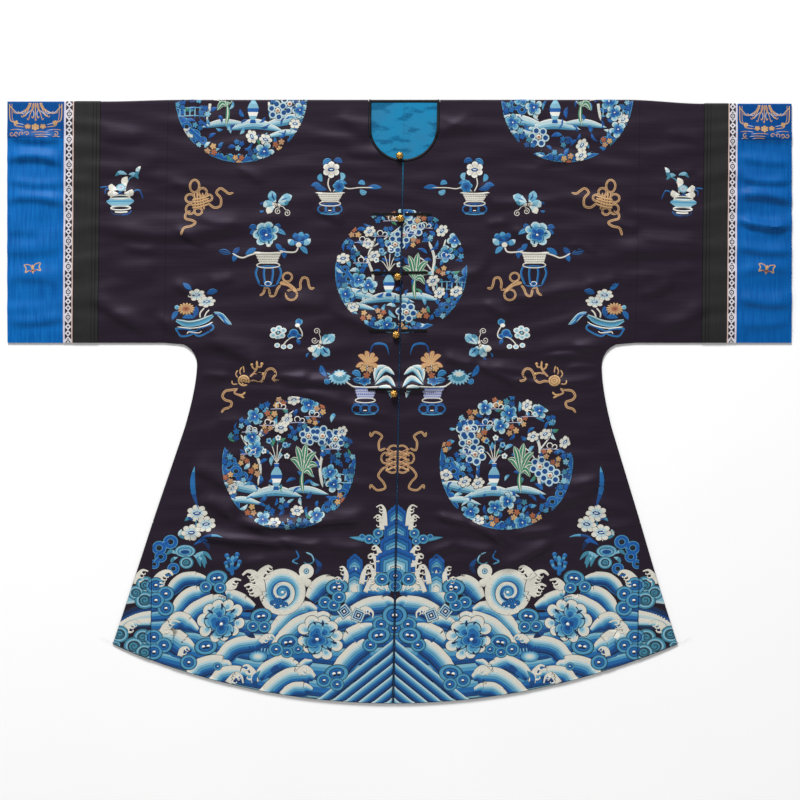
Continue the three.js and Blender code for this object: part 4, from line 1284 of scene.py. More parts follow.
def peony_vase(n):
    """A blue peony with a side branch in a basket on a tall barrel stand."""
    n.cordlet([(-8, 19), (-17, 22), (-22, 24), (-27, 23), (-33, 19.5)], 1.5, "cream", 20)
    n.cordlet([(14, 17), (22, 18.4), (30, 18), (33, 13)], 1.6, "cream", 16)
    for points, text in (([(-47, 17), (-41, 17.6), (-34, 20)], "navy 1, sky 3, mid 1"),
                         ([(-33, 20), (-29, 17.6), (-26, 13.6)], "deep"),
                         ([(-32, 28), (-31, 23), (-28, 21)], "mid 1, deep 1"),
                         ([(-20, 21), (-15, 17), (-9, 14.5)], "mid 1, sky 2, mid 1"),
                         ([(-17, -6), (-13, -8), (-8, -5)], "deep 1, mid 1"),
                         ([(8, -4), (14, -4), (20, 1)], "sky 1, mid 1, deep 1"),
                         ([(8, -3), (12, -9), (15, -8)], "deep 1, mid 1"),
                         ([(-16, 0), (-13, -3), (-8, 1)], "mid 1, deep 1"),
                         ([(34, 13), (39, 15), (42, 20)], "sky 1, mid 1"),
                         ([(15, 14), (20, 18), (19, 25)], "deep 1, mid 1"),
                         ([(10, 10), (14, 13), (16, 18)], "mid 1, deep 1")):
        n.leaf(points, 5.6, text)
    peony(n.above(1), 1, 0, 0.6, 20, "ink .5, pale 1.4, light 1.6, sky 1.6, mid 1")
    n.above(2).disc(3, 10.5, 3.2, "ink .5, cream 3", 1.0, 10)
    for points, text in (([(33, 8), (27, 9), (22, 6)], "mid 1, sky 1, pale 1"),
                         ([(33, 8), (30, 3), (29, -1)], "deep 1, mid 1"),
                         ([(33, 8), (35, 2), (36, -2)], "mid 1, sky 1"),
                         ([(33, 8), (40, 3), (42, 0)], "deep 1, mid 1, sky 1"),
                         ([(33, 8), (40, 9), (45, 5)], "mid 1, light 1, pale 1")):
        n.above(1).blade(points, 6.4, text, bend=1.4)
    n.above(2).disc(33, 11, 3.4, "ink .5, cream 3", 0.9, 10)
    basket(n.above(2), 3, 19, 27, 19, 11)
    tall_stand(n, 3.2, 42.5, 25, 18)


def boat_basket(n):
    """Daisies and a gold chrysanthemum in a boat-shaped bowl on a pierced rock."""
    n.cordlet([(4, 22), (4, 17), (8, 12)], 1.5, "cream")
    n.cordlet([(8, 22), (10, 17), (13, 14)], 1.5, "cream")
    for points, text in (([(-5, -6), (-9, -9), (-14, -13)], "mid 1, deep 1"),
                         ([(10, -2), (15, -5), (21, -5)], "deep 1, mid 1"),
                         ([(17, 16), (25, 18), (30, 25), (36, 29)], "sky 1, mid 2, sky 1, pale 1"),
                         ([(-24, 24), (-22, 18), (-18, 15)], "mid 1, deep 1"),
                         ([(-2, 22), (0, 15), (0, 10)], "deep 1, mid 1"),
                         ([(-14, 22), (-8, 19), (-2, 22)], "mid 1, deep 1")):
        n.leaf(points, 5.6, text)
    n.blade([(17, 18), (25, 20), (29, 26), (33, 29)], 2.6, "cobalt 1, mid 1", count=12)
    daisy(n.above(1), 0, -0.8, 9.4, 10, 7, 0.68)
    daisy(n.above(2), 10, 6, 9.6, 30, 7, 0.62)
    n.above(1).bloom(-10.4, 13, 9.0, 15, "gold 2, tan 2, rust 2, brown 1", notch=0.34, squash=0.7)
    n.above(1).disc(-19.6, 11.6, 2.4, "light 1, sky 1", 1.0, 10)
    hull = curve([(-20, 24), (-8, 27.5), (6, 25), (17, 19)], 12)
    n.above(2).strip(hull + (0, 0.6), np.interp(np.linspace(0, 1, 12), [0, 0.2, 0.8, 1],
                                                [1.4, 3.4, 3.4, 1.4]),
                     "ink .3, pale 1.2, ink .3, teal 1.2, sky 1.6, light 1, ink .3", across=True)
    n.above(3).cordlet([(-19, 31), (-4, 32.4), (9, 30), (17, 26)], 1.2, "white")
    for points in ([(-20, 33), (-15, 40), (-6, 39), (-3, 36), (-10, 33), (-20, 33)],
                   [(-3, 36), (2, 40), (9, 38), (17, 33), (15, 29), (4, 33), (-3, 36)]):
        n.strip(curve(points, 26), 1.0, "deep .5, mid 2, sky .5", across=True)
    n.above(1).cordlet([(-9, 38), (-7, 36), (2, 37), (6, 35.4)], 1.2, "cream")


def petal_vase(n):
    """A shallow bowl of pale flowers with a sprig of buds, on the sleeve."""
    n.cordlet([(4, 0), (5, -8), (8, -14), (14, -17)], 1.4, "cream 1, teal 1")
    for points, text in (([(-6, -16.5), (-1, -20), (6, -18)], "teal 1, light 2"),
                         ([(7, -18), (13, -18), (17, -13)], "light 1, teal 1"),
                         ([(16.5, -17), (16, -22), (19, -26)], "teal 1, pale 1, white 1")):
        n.blade(points, 4.2, text)
    for points in ([(-22, -5), (-15, -6), (-8, -5)], [(-8, -5), (-15, -3), (-15, 2)],
                   [(12, -1), (18, -2), (22, 7)], [(-3, 5), (-1, 0), (3, 4)]):
        n.cordlet(points, 1.5, "mid 1, deep 1", 10)
    for points in ([(5, -6), (3, -11), (6, -16)], [(-2, -3), (-9, -5), (-9, -9)],
                   [(-2, 1), (-9, 1), (-11, -2)], [(3, 1), (9, 1), (11, -3)]):
        n.above(1).blade(points, 7.0, "white 1, cream 2", bend=1.2)
    n.above(2).disc(0, -5, 5.2, "ink .4, light 2, pale 2, lavender 2", 0.8, 14)
    half = np.array([9.4, 12.0, 14.2, 14.0, 12.0, 9.6, 8.0])
    n.above(3).strip(joined(np.full(7, -0.6), np.linspace(5, 14, 7)), half,
                     "pale 1, light 1, sky 1, light 1, pale 1, light 1")
    n.above(4).strip(polar(-0.6, 4.8, 9.4, 0, 360, 22, 0.2), 0.7, "cream")
    n.above(2).strip(polar(0, 15.6, 9.6, 0, 360, 22, 0.2), 0.7, "white")
    n.above(1).cordlet([(-6, 19.4), (0, 19.8), (7, 19.4)], 1.6, "white")
    n.cordlet([(-10, 18), (-6, 22), (6, 22), (11, 18)], 2.0, "navy 1, deep 1")


def flower_bowl(n):
    """Gold lily, side daisy and pale leaves in a bowl on a blue stand, near the centre."""
    n.cordlet([(0, 22), (1, 12), (0, 2)], 1.5, "cream")
    n.cordlet([(0, 24), (-12, 24), (-24, 16)], 1.5, "cream")
    n.cordlet([(-36, 12), (-40, 10)], 1.5, "sky", 6)
    tendril = curve([(2, -5), (6, -18), (18, -18), (22, -8)], 14)
    n.strip(tendril, 1.2 * np.sin(math.pi * np.linspace(0.03, 0.97, 14)), "deep 1, mid 2")
    for points in ([(8, 20), (18, 6), (28, 12)], [(8, 22), (20, 15), (29, 24)], [(8, 18), (10, 6), (20, 3)],
                   [(10, 24), (22, 25), (25, 35)]):
        n.above(1).blade(points, 6.5, "ink .3, white 1, pale 1.2, light .8, teal .6", bend=1.1, across=True)
    for a in (60, 100, 140, 200, 330, 20):
        tip = polar(0, 0, 12, a, a, 1)[0]
        n.above(1).blade([(0, 2), tip * 0.6 + (1.4, -1), tip], 5.6,
                         "rust .5, gold 1, tan .8, gold 1, rust .5", bend=1.2, across=True)
    leaf_clump(n.above(2), 0, 8, 7, 20, ("tan", "gold", "rust"))
    for a in range(0, 181, 20):
        tip = polar(-27, 14, 11.5, a + 180, a + 180, 1, 0.75)[0]
        n.above(1).blade([(-27, 12), (np.array((-27, 12)) + tip) / 2, tip], 3.6, "teal 1, light 1",
                         bend=1.2, count=6)
    n.above(2).bloom(-27, 11, 7.5, 9, "sky 1, pale 2, cream 2", squash=0.6)
    for points, text in (([(-40, 14), (-46, 8), (-46, 2)], "mid 1, deep 1"),
                         ([(-38, 16), (-42, 19), (-36, 20)], "mid 1, sky 1"),
                         ([(-15, 10), (-10, 8), (-6, 14)], "mid 1, sky 1"),
                         ([(-14, 16), (-8, 19), (-3, 16)], "deep 1, sky 1")):
        n.above(1).leaf(points, 6.2, text)
    n.above(1).bloom(-2, 18, 7, 6, "light 1, mid 2, deep 2", squash=0.7)
    basket(n.above(3), -1, 24, 25, 16, 12, "lavender 1.2, cobalt .6")
    low_stand(n, -1, 46, 25)


def butterfly(n, angle=0.0, flip=1):
    """Two broad pale wings, two round ones, a banded body and coiled feelers."""
    n = n.moved(0, 0, angle, 1.0, flip)
    for points, wide, text in (([(0, 0), (-4, -6), (-5.4, -13)], 9.5, "ink .2, pale 1, sky 2, light 2"),
                               ([(0, 0), (8, -5), (15.4, -8)], 9.5, "ink .2, pale 2, light 2, pale 1"),
                               ([(1, 0), (8, 0), (12, -3)], 4.6, "light 1, teal 1"),
                               ([(0, 1), (-8, 0), (-13, 3)], 8.5, "cream 1, light 2, pale 2"),
                               ([(0, 2), (-6, 5), (-9, 10)], 7.5, "white 1, pale 1, cream 2")):
        n.blade(points, wide, text, bend=1.5)
    for points, wide, text in (([(-1.6, -3), (-4, -7), (-4.6, -11)], 2.4, "navy 1, deep 1"),
                               ([(4, -3), (9, -5.4), (13, -7)], 2.2, "mid 1, sky 1"),
                               ([(-3, 2), (-7, 2), (-11, 3)], 1.6, "teal 1"),
                               ([(-13, -2), (-15, 0), (-17, 0)], 2.6, "deep"),
                               ([(-12, 7), (-15, 8), (-17, 7)], 2.4, "mid")):
        n.above(1).blade(points, wide, text, count=7)
    n.above(2).blade([(-3, 3), (0, 1), (5, 1.6)], 3.6, "cream 1, brown .4, cream 1, brown .4, cream 1, tan 1")
    for x, y, start, way in ((1.6, 7.6, 70, -1), (10.6, 9.6, 110, 1)):
        turn = np.linspace(0, 3.0 * math.pi, 18)
        reach = 3.5 - 0.32 * turn
        bearing = way * turn - math.radians(start)
        coil = joined(x + reach * np.cos(bearing), y + reach * np.sin(bearing))
        root = curve([(3, 2), (3 + 0.4 * (x - 2), 3)], 3)
        n.above(1).strip(np.concatenate([root, coil]), 0.4, "cream")


def sprig(n):
    """A cloud of small pale flowers beside a blue bud and leaf."""
    n.cordlet([(4, 13), (8, 8), (12, 5), (16, 4)], 1.3, "cream")
    n.cordlet([(19, -8), (23, -1), (23, 4), (19, 6)], 1.3, "cream", 10)
    for x, y, radius in ((-5.6, 2.4, 3.8), (-5, -2.8, 3.6), (0, -4.6, 3.6), (4.6, -2.4, 3.6),
                         (3.2, 2.6, 3.8), (-1, 4.4, 3.4),
                         (-1.4, 12.4, 3.2), (5, 13.8, 3.2), (11.4, 13.6, 3.2)):
        n.disc(x, y, radius, "ink .5, white 1, pale 1.6, light 1.6", 0.84, 12)
    n.above(1).disc(-0.6, -0.2, 2.2, "ink .4, teal 1, pale 1", 0.9, 10)
    for x, y, radius in ((15, 0.4, 5.2), (20, 3.4, 3.0), (11, 3, 2.6)):
        n.disc(x, y, radius, "ink .4, sky 1, cobalt 2, deep 1.4", 0.9, 14)
    n.disc(20, -11, 4.2, "ink .4, sky 1, mid 2", 0.9, 12)
    n.above(1).disc(18.6, -7.6, 3.0, "ink .4, white 2", 0.8, 10)
    n.blade([(18, 6), (20, 9), (21, 12)], 4.4, "mid 1, deep 1")


GILT_CORD = "brown .5, tan .9, gold .9, ink 1.0, gold .9, tan .9, brown .5"


def wavy(n, points, width=2.8):
    n.cordlet(points, width, GILT_CORD, 26, across=True)


def endless_knot(n):
    """Couched gold cord laced into a knot, with loops and two waving ends."""
    for x, y, rx, squash in ((-4.7, -15.6, 4.6, 1.35), (-9, -3.4, 4.6, 0.9), (3.3, -9.4, 4.2, 1.0),
                             (-8.6, 7.4, 4.4, 1.1), (-0.6, 9.6, 3.8, 0.9), (9.4, -3.8, 3.6, 0.9)):
        n.strip(polar(x, y, rx, 0, 360, 20, squash), 1.3, GILT_CORD, across=True)
    for k in (-4.2, -1.4, 1.4, 4.2):
        n.above(2).cordlet([(-7, 2 + k), (1, 1 + k), (10, -2 + k)], 1.9, "brown .3, gold 2, tan 1",
                           across=True)
        n.above(1).cordlet([(-1 + k, -9), (k, 0), (1 + k, 8)], 1.9, "brown .3, gold 1, tan 2", across=True)
    wavy(n.above(1), [(9, 1), (12, 4), (16, 6), (21.4, 4), (21.6, -3.5), (17, -9), (21, -13.4), (26, -10.6),
                      (29.6, -8), (34.5, -9)])
    wavy(n.above(1), [(-8, 9), (-13, 12), (-13, 17), (-7, 18.6), (-3, 21), (-7, 24.4), (-13.6, 26),
                      (-16, 30), (-17, 34)])


def small_knot(n):
    """A bow of gold cord with an end waving to each side."""
    for x, y, rx in ((-1.4, -6.6, 4.6), (3, 11, 5.6)):
        n.strip(polar(x, y, rx, 0, 360, 20, 0.95), 1.2, GILT_CORD, across=True)
    n.above(1).cordlet([(-9, -1), (0, 1), (8, 8)], 4.2,
                       "brown .3, gold 1, tan .6, gold 1, tan .6, brown .3", across=True)
    n.above(2).cordlet([(-6, -4), (1, 1), (4, 6)], 2.0, "tan 1, gold 1", across=True)
    wavy(n, [(7, 6), (11.6, 5), (11.6, -1), (14, -6), (18.6, -5), (20, 1), (22, 4.6), (26, 4)])
    wavy(n, [(-8, 1), (-11, 5), (-13.6, 11), (-18, 12), (-19.6, 6), (-23.4, 4), (-25, 9), (-29, 12)])


def flaming_disc(n):
    """A ringed disc with little flames, coral to one side and a waving ribbon to the other."""
    n.disc(0, 0.6, 6.0, "gold 1.4, brown .5, gold 1.4, brown .5, gold 1", 0.95, 22)
    for points in ([(-3, -5), (-4, -9), (-2, -13)], [(0, -7), (0, -10), (-1, -14)],
                   [(-6, -2), (-8, -6), (-6, -10)], [(-6, 4), (-11, 4), (-12, 0)]):
        n.cordlet(points, 1.4, "tan 1, gold 1", 8)
    n.cordlet([(6, -3), (10, -7), (13, -12), (13, -19)], 2.2, "tan 1, gold 1")
    for points in ([(12, -10), (9, -12), (8, -15)], [(13, -13), (17, -13), (18, -16)],
                   [(9, -6), (15, -7), (19, -6)]):
        n.cordlet(points, 1.9, "tan 1, gold 1", 8)
        n.above(1).disc(*points[-1], 1.6, "gold", 1.0, 8)
    wavy(n, [(5, 2), (10, 1), (15, 2.6), (19, 0), (21, -6), (24, -10.6), (29, -11), (32, -6), (29, -1),
             (33, 1), (35, 0)])
    n.cordlet([(-6, 8), (-9, 13), (-2, 15), (2, 12)], 2.0, "tan 1, gold 1")
    n.cordlet([(-8, 14), (-3, 16), (1, 18)], 1.9, "tan 1, gold 1", 8)
    wavy(n, [(-6, 9), (-12, 10), (-18, 11), (-21, 16), (-18, 20), (-12, 22), (-13, 27), (-19, 29), (-22, 33)])


def ribbon_tails(n):
    """Half of the knot that spans the front opening: laced loops and two waving ribbons."""
    for x, y, rx, squash in ((4, -10, 5.6, 0.8), (5, 8, 5.8, 0.8), (12, -2, 4.4, 1.2)):
        n.strip(polar(x, y, rx, 0, 360, 20, squash), 1.15, GILT_CORD, across=True)
    for k in (-9, -4, 1, 6):
        n.above(1).cordlet([(0, k), (6, k + 2), (12, k + 5)], 1.8, "gold 1, tan 1, gold 1", across=True)
        n.above(2).cordlet([(12, k - 2), (6, k), (0, k + 4)], 1.5, "tan 1, rust 1, tan 1", across=True)
    wavy(n, [(12, -12), (18, -10), (19, -18), (16, -24), (23, -28), (27, -24), (28, -28)], 2.6)
    wavy(n, [(11, 6), (16, 10), (19, 16), (14, 22), (12, 28), (20, 30), (26, 25), (27, 29)], 2.6)


def side_plants(n):
    """Daisies and a long leaf over a pierced rock, with a sacred fungus and bamboo."""
    n.blade([(0, -1), (-1.8, 12), (-0.6, 26), (4.4, 42)], 5.6, "sky 1, mid 4, deep 2, mid 1", count=14)
    n.cordlet([(-4, 74), (1, 62), (4, 46)], 1.6, "cream 1, teal 1")
    daisy(n.above(1), 3.2, 46, 11.2, 20)
    daisy(n.above(2), 12.4, 57, 10.6, 50)
    daisy(n.above(3), -2.2, 65.4, 11, 5)
    for points, wide, text in (([(-12, 62), (-13, 67), (-9, 72)], 5, "pale 1, teal 1"),
                               ([(0, 53), (-5, 51), (-9, 54)], 4, "deep 1, teal 1"),
                               ([(4, 74), (12, 69), (22, 68), (30, 70)], 2.6, "deep 1, sky 1"),
                               ([(0, 78), (9, 73), (14, 77), (16, 84)], 5.0, "cobalt 1, navy 1")):
        n.blade(points, wide, text, count=12)
    stone(n, ((-22.8, 74.7, 7.9), (-34, 80.7, 7.9), (-32.3, 89.6, 6.6), (-38.6, 97, 5.4)))
    stone(n, ((-19.4, 101.4, 6.5), (-24, 106, 4)))
    n.above(1).disc(-8, 84, 10.4, "teal .6, light 1.2, ink .4, sky 1.4, deep 3", 0.6, 22)
    n.above(3).strip(polar(-8, 85, 5.4, 200, -20, 12, 0.5), 0.6, "light")
    cloud_spiral(n.above(3), -6.5, 95.4, 0.74)
    for points in ([(0, 88), (5, 91), (8, 100)], [(1, 88), (9, 89), (14, 97)],
                   [(2, 87), (12, 86), (19, 93)], [(-16, 87), (-22, 84), (-27, 88)],
                   [(-15, 90), (-20, 92), (-22, 96)], [(3, 90), (10, 93), (12, 101)]):
        n.blade(points, 4.2, "light 1, teal 2", bend=1.1)


GARDEN = 66.0           # radius of a round garden, in units
TUFTS = (("tan", "gold", "rust"), ("mid", "sky", "cobalt"), ("rust", "tan", "gold"),
         ("cobalt", "light", "mid"), ("deep", "mid", "teal"))
POSIES = ["tuft", "peony", "tuft", "outlined", "tuft", "daisy", "tuft", "peony", "tuft", "tuft", "outlined",
          "tuft", "daisy"]


def roundel(n, seed):
    """A round garden with no figures, cut off at its circle: blossoms and tufts packed over cream
    trees, a jar of sprays and a plantain on a pale bank, a fence, clouds, and rocks at its rim."""
    rng = np.random.default_rng(seed)
    n = n.moved(0, 0, flip=1 if seed % 2 else -1)
    n.work.circle = (n.place, np.linalg.inv(n.turn), GARDEN)
    for start, end in ((166, 224), (240, 300), (314, 366)):
        count = (end - start) // 2
        rocky = 1.0 + 3.2 * np.abs(np.sin(np.arange(count) * 0.7 + seed))
        half = 0.3 + rocky * np.sin(math.pi * np.linspace(0, 1, count)) ** 0.5
        rim = polar(0, 0, GARDEN, start, end, count) * (1 - half / GARDEN)[:, None]
        n.strip(rim, half, "sky .6, mid .7, cobalt 1.6, ink .3, mid .8, sky .5", across=True)
        for angle in np.arange(start + 6, end - 4, 7) + rng.uniform(-2, 2):
            n.above(1).disc(*polar(0, 0, rng.uniform(58, 62), angle, angle, 1)[0], rng.uniform(1.0, 1.9),
                            "ink", 0.8, 8)
    for points, wide in (([(34, 24), (31, 6), (33, -14), (27, -32)], 2.8),
                         ([(32, -12), (41, -24), (44, -34)], 1.6), ([(31, 0), (22, -12), (14, -16)], 1.4),
                         ([(-30, 22), (-28, 4), (-33, -14), (-26, -36)], 2.6),
                         ([(-31, -8), (-42, -18), (-48, -28)], 1.6),
                         ([(-28, -26), (-10, -40), (4, -52)], 1.5)):
        n.above(1).cordlet(points, wide, "cream 2, pale 1, cream 2", 14, across=True)
    leaves = ["mid 1, deep 1", "sky 1, mid 1", "cobalt 1, mid 1", "green 1, teal 1", "light 1, sky 1",
              "deep 1, cobalt 1", "pale 1, light 1", "cobalt 1, deep 1"]
    for reach, count in ((16, 8), (28, 14), (39, 20), (50, 26), (60, 32)):
        for foot_angle in np.arange(count) * 360 / count:
            foot = polar(0, 0, reach + rng.uniform(-4, 4), foot_angle, foot_angle, 1)[0]
            length, heading = rng.uniform(5, 9), rng.uniform(0, 360)
            way = polar(0, 0, length, heading, heading, 1)[0]
            line = [foot - way / 3, foot + way / 3 + way[::-1] * (0.2, -0.2), foot + way]
            n.above(1).blade(line, rng.uniform(3.0, 4.8), leaves[rng.integers(8)], bend=1.2, count=6)
    ground = "ink .3, white .5, pale 1.8, light 1.2, ink .2, sky 1"
    for *points, wide in (((-66, 20), (-46, 23), (-20, 30), 11), ((-42, 34), (-14, 27), (14, 33), 11),
                          ((-6, 27), (18, 26), (40, 31), 8), ((-62, 37), (-44, 36), (-24, 41), 7)):
        n.above(2).blade(points, wide, ground, count=12, across=True)
    jar = joined(np.full(8, -12.0), np.linspace(0, 27, 8))
    n.above(5).strip(jar, [2.6, 2.0, 4.4, 5.8, 5.4, 4.2, 2.8, 3.8],
                     "white .6, cobalt 1, light 1.4, cobalt .8, white 1.2, light 1, cobalt 1, white .8")
    for k, (tx, ty) in enumerate(((-25, -12), (-20, -22), (-11, -25), (-4, -18), (-2, -7))):
        n.above(3).cordlet([(-12, 0), ((tx - 12) / 2, ty / 2 - 4), (tx, ty)], 0.9, "cream 1, teal 1", 8)
        n.above(5).bloom(tx, ty, 3.7, 5, ("ink .4, white 1.2, sky .8",
                                          "ink .4, light 1, cobalt 1.2")[k % 2], angle=30 * k)
    n.above(3).blade([(15, 30), (13, 18), (14, 6)], 4.4, "ink .2, green 1, cream .8, green 1", across=True)
    for k, (tx, ty) in enumerate(((1, -4), (7, -17), (17, -20), (27, -11), (29, 3), (24, 14))):
        frond = [(14, 10), ((14 + tx) / 2, (10 + ty) / 2 - 5), (tx, ty)]
        n.above(4 + k % 2).blade(frond, 6.4, "cream .3, green 1.3, cream .5, green 1, cream .3", across=True)
    for y in (12, 20):
        n.above(2).cordlet([(33, y), (46, y - 1), (66, y)], 1.1, "sky 1, light 1", 10)
    for x in range(36, 66, 5):
        n.above(2).cordlet([(x, 10), (x, 16), (x, 23)], 1.2, "light 1, cobalt 1", 5)
    stone(n.above(3), ((-52, 8, 6.4), (-45, 13, 5.4), (-56, -2, 4.6)))
    stone(n.above(3), ((46, 38, 6.2), (54, 30, 5.6), (38, 44, 4.8)))
    places = [(52 * math.sqrt((k + 0.5) / 42), 137.5 * k + 50 * seed) for k in range(2, 42)]
    places += [(61.0 - 1.5 * (k % 2), 13.3 * k + 6) for k in range(27)]
    for k, (reach, angle) in enumerate(places):
        x, y = polar(0, 0, reach, angle, angle, 1)[0] + rng.uniform(-1.8, 1.8, 2)
        kind, turn = POSIES[(k * 5 + seed) % 13], rng.uniform(0, 360)
        over_jar = -27 < x < 31 and -26 < y < 29
        over_bank = -48 < x < 38 and 20 < y < 37
        if over_jar or over_bank or reach > 55 and kind == "outlined":
            continue
        if kind == "peony":
            text = ("ink .6, pale 1.6, light 1.8, mid 1", "ink .6, light 1.6, sky 1.8, mid 1.4")[k % 2]
            peony(n.above(4), x, y, rng.uniform(0.36, 0.44), turn, text)
        elif kind == "daisy":
            daisy(n.above(4), x, y, rng.uniform(7.2, 8.4), turn, 6, text="ink .5, cream 1.8, pale 1.6")
        elif kind == "outlined":
            outlined(n.above(4), x, y, rng.uniform(9.6, 11.2), turn)
        else:
            leaf_clump(n.above(4), x, y, rng.uniform(5.4, 6.6), turn, TUFTS[(k + seed) % 5])
    for angle, reach in ((66, 54), (101, 58), (139, 52), (22, 46), (163, 42), (80, 44), (118, 46)):
        x, y = polar(0, 0, reach, angle, angle, 1)[0]
        coil = np.concatenate([polar(x, y, 2.8, 240, -40, 9), polar(x + 5, y + 1.2, 2.2, 150, -100, 7)])
        n.above(8).strip(coil, 0.45, "white")
        n.above(8).strip([(x - 8, y + 3.6), (x + 1, y + 3.2), (x + 9, y + 3.8)], 0.4, "lavender")


# Waves of the hem, back to front: the layer, the width of its bands, and its crest's points.
WAVES = [
    (1, 12, [(-231, 493), (-225, 481), (-215, 473), (-204, 471), (-196, 472), (-187, 477)]),
    (1, 17, [(-91, 498), (-88, 487), (-80, 478), (-71, 474), (-62, 475), (-54, 480)]),
    (1, 16, [(-55, 500), (-50, 491), (-42, 483), (-33, 480), (-21, 480), (-9, 483), (-2, 489)]),
    (2, 15, [(-226, 512), (-221, 500), (-213, 491), (-204, 486), (-195, 485), (-184, 488)]),
    (2, 14, [(-173, 493), (-170, 489), (-162, 489), (-153, 492), (-145, 497), (-138, 505)]),
    (2, 17, [(-53, 517), (-47, 508), (-39, 502), (-28, 497), (-17, 495), (-6, 495), (2, 501)]),
    (2, 17, [(-128, 533), (-122, 521), (-116, 514), (-109, 507), (-100, 502), (-91, 500), (-84, 501),
             (-76, 508)]),
    (3, 16, [(-220, 521), (-212, 511), (-204, 503), (-195, 498), (-186, 494), (-176, 493), (-167, 497)]),
    (3, 19, [(-125, 546), (-119, 535), (-111, 526), (-102, 518), (-91, 513), (-80, 510), (-69, 510),
             (-61, 516)]),
    (3, 11, [(-63, 525), (-60, 519), (-54, 516), (-46, 515), (-39, 517), (-35, 522)]),
    (4, 17, [(-55, 539), (-49, 529), (-40, 524), (-32, 521), (-21, 522)]),
    (4, 15, [(-233, 525), (-226, 517), (-220, 512), (-213, 511), (-205, 514), (-199, 520), (-194, 529)]),
    (5, 22, [(-244, 533), (-233, 527), (-224, 527), (-216, 528), (-208, 533), (-202, 538), (-197, 546)]),
    (5, 16, [(-183, 558), (-175, 549), (-169, 542), (-159, 537), (-149, 535), (-136, 534), (-124, 537)]),
    (5, 17, [(-65, 571), (-58, 559), (-52, 552), (-45, 545), (-36, 539), (-29, 537)]),
    (5, 8, [(-98, 567), (-93, 561), (-88, 558), (-81, 559)]),
    (6, 14, [(-140, 575), (-134, 565), (-125, 559), (-113, 554), (-103, 556), (-95, 561), (-91, 568)]),
    (6, 18, [(-210, 574), (-206, 567), (-200, 560), (-191, 556), (-181, 554), (-171, 555), (-163, 560),
             (-160, 565)]),
    (7, 15, [(-188, 581), (-182, 574), (-176, 568), (-166, 565), (-155, 565), (-147, 568), (-143, 574)]),
    (7, 17, [(-138, 594), (-131, 585), (-120, 575), (-108, 568), (-98, 566), (-87, 566), (-80, 570),
             (-76, 576)]),
    (8, 13, [(-116, 594), (-110, 587), (-102, 582), (-94, 581), (-86, 582), (-79, 588)]),
]
HEM_CLOUDS = [
    # how far out and down, size, commas
    (178.4, 478, 1.0, 2), (189.3, 486.5, 0.72, 1), (175, 487.5, 0.72, 1), (133.5, 516, 1.0, 2),
    (141.5, 526, 0.74, 1),
    (130, 526.5, 0.74, 1), (188, 546, 1.05, 2), (205, 562, 0.95, 1), (118, 549, 0.85, 1),
    (106, 542, 1.0, 2), (107, 552, 0.7, 1),
    (96, 549, 0.6, 1), (70, 502, 0.8, 1), (61, 505, 0.8, 1), (56.1, 497, 0.8, 1), (58.3, 487, 1.05, 2),
    (69.5, 580, 0.85, 1),
    (56.5, 584, 0.8, 1), (57, 573, 1.1, 2), (13.4, 479, 0.85, 1), (0.6, 486, 0.7, 1), (0.6, 475.6, 1.05, 1),
    (24, 544.5, 0.85, 1), (15.4, 535, 1.05, 2), (1, 528, 0.95, 1), (13.6, 524, 0.95, 1), (1, 515, 1.3, 1),
    (228.9, 508, 0.95, 1), (229.2, 493.5, 0.95, 1), (239, 500, 1.0, 1), (239.3, 485, 1.0, 1),
    (230.2, 545, 0.95, 1), (240, 551.5, 1.0, 1), (240.4, 537, 1.0, 1), (216, 586, 0.6, 1), (176, 566, 0.5, 1),
]
HEM_FOAM = [
    # which way it curls, width at the foot, and points from the foot to the tip
    (1, 11, [(-240, 491), (-239, 481), (-233, 473), (-226, 471), (-222, 475)]),
    (1, 9, [(-167, 490), (-166, 484), (-161, 479), (-154, 480)]),
    (-1, 11, [(-134, 492), (-135, 482), (-141, 473), (-148, 471), (-153, 475)]),
    (-1, 9, [(-136, 496), (-139, 489), (-145, 484), (-151, 486)]),
    (1, 9, [(-138, 478), (-132, 470), (-127, 466), (-123, 468)]),
    (1, 7, [(-233, 534), (-229, 525), (-222, 520), (-214, 522)]),
    (1, 6, [(-214, 556), (-212, 549), (-207, 547), (-204, 550)]),
    (-1, 8, [(-138, 582), (-140, 572), (-146, 565), (-151, 566)]),
    (1, 6, [(-134, 542), (-129, 536), (-122, 535), (-119, 539)]),
    (1, 7, [(-96, 573), (-89, 567), (-82, 570), (-79, 577)]),
    (1, 6, [(-34, 510), (-28, 508), (-22, 512), (-22, 518)]),
    (1, 6, [(-24, 489), (-16, 484), (-10, 486), (-8, 491)]),
    (1, 7, [(-166, 583), (-158, 574), (-152, 576), (-150, 583)]),
    (-1, 6, [(-50, 484), (-49, 474), (-52, 467), (-56, 467)]),
    (-1, 5, [(-52, 493), (-54, 482), (-57, 477), (-61, 478)]),
    (1, 6, [(-34, 484), (-32, 473), (-28, 465), (-23, 466)]),
    (1, 5, [(-30, 492), (-26, 482), (-22, 476), (-18, 478)]),
    (-1, 6, [(-11.4, 426), (-11.8, 417), (-12.4, 409), (-15.6, 405), (-20.6, 407)]),
    (-1, 5.4, [(-14, 430), (-14.8, 423), (-16, 417), (-19, 415), (-23, 418)]),
    (-1, 7, [(-13, 464), (-16, 453), (-20, 446), (-24, 447)]),
    (-1, 7, [(-17, 473), (-19, 462), (-24, 454), (-28, 456)]),
    (-1, 6, [(-21, 482), (-22, 472), (-27, 465), (-31, 467)]),
]
NICKS = [(-131, 498, 55), (-171, 498, -30), (-63, 513, 60), (-192, 519, -60), (-226, 522, -50),
         (-97, 566, 60), (-160, 576, 70)]


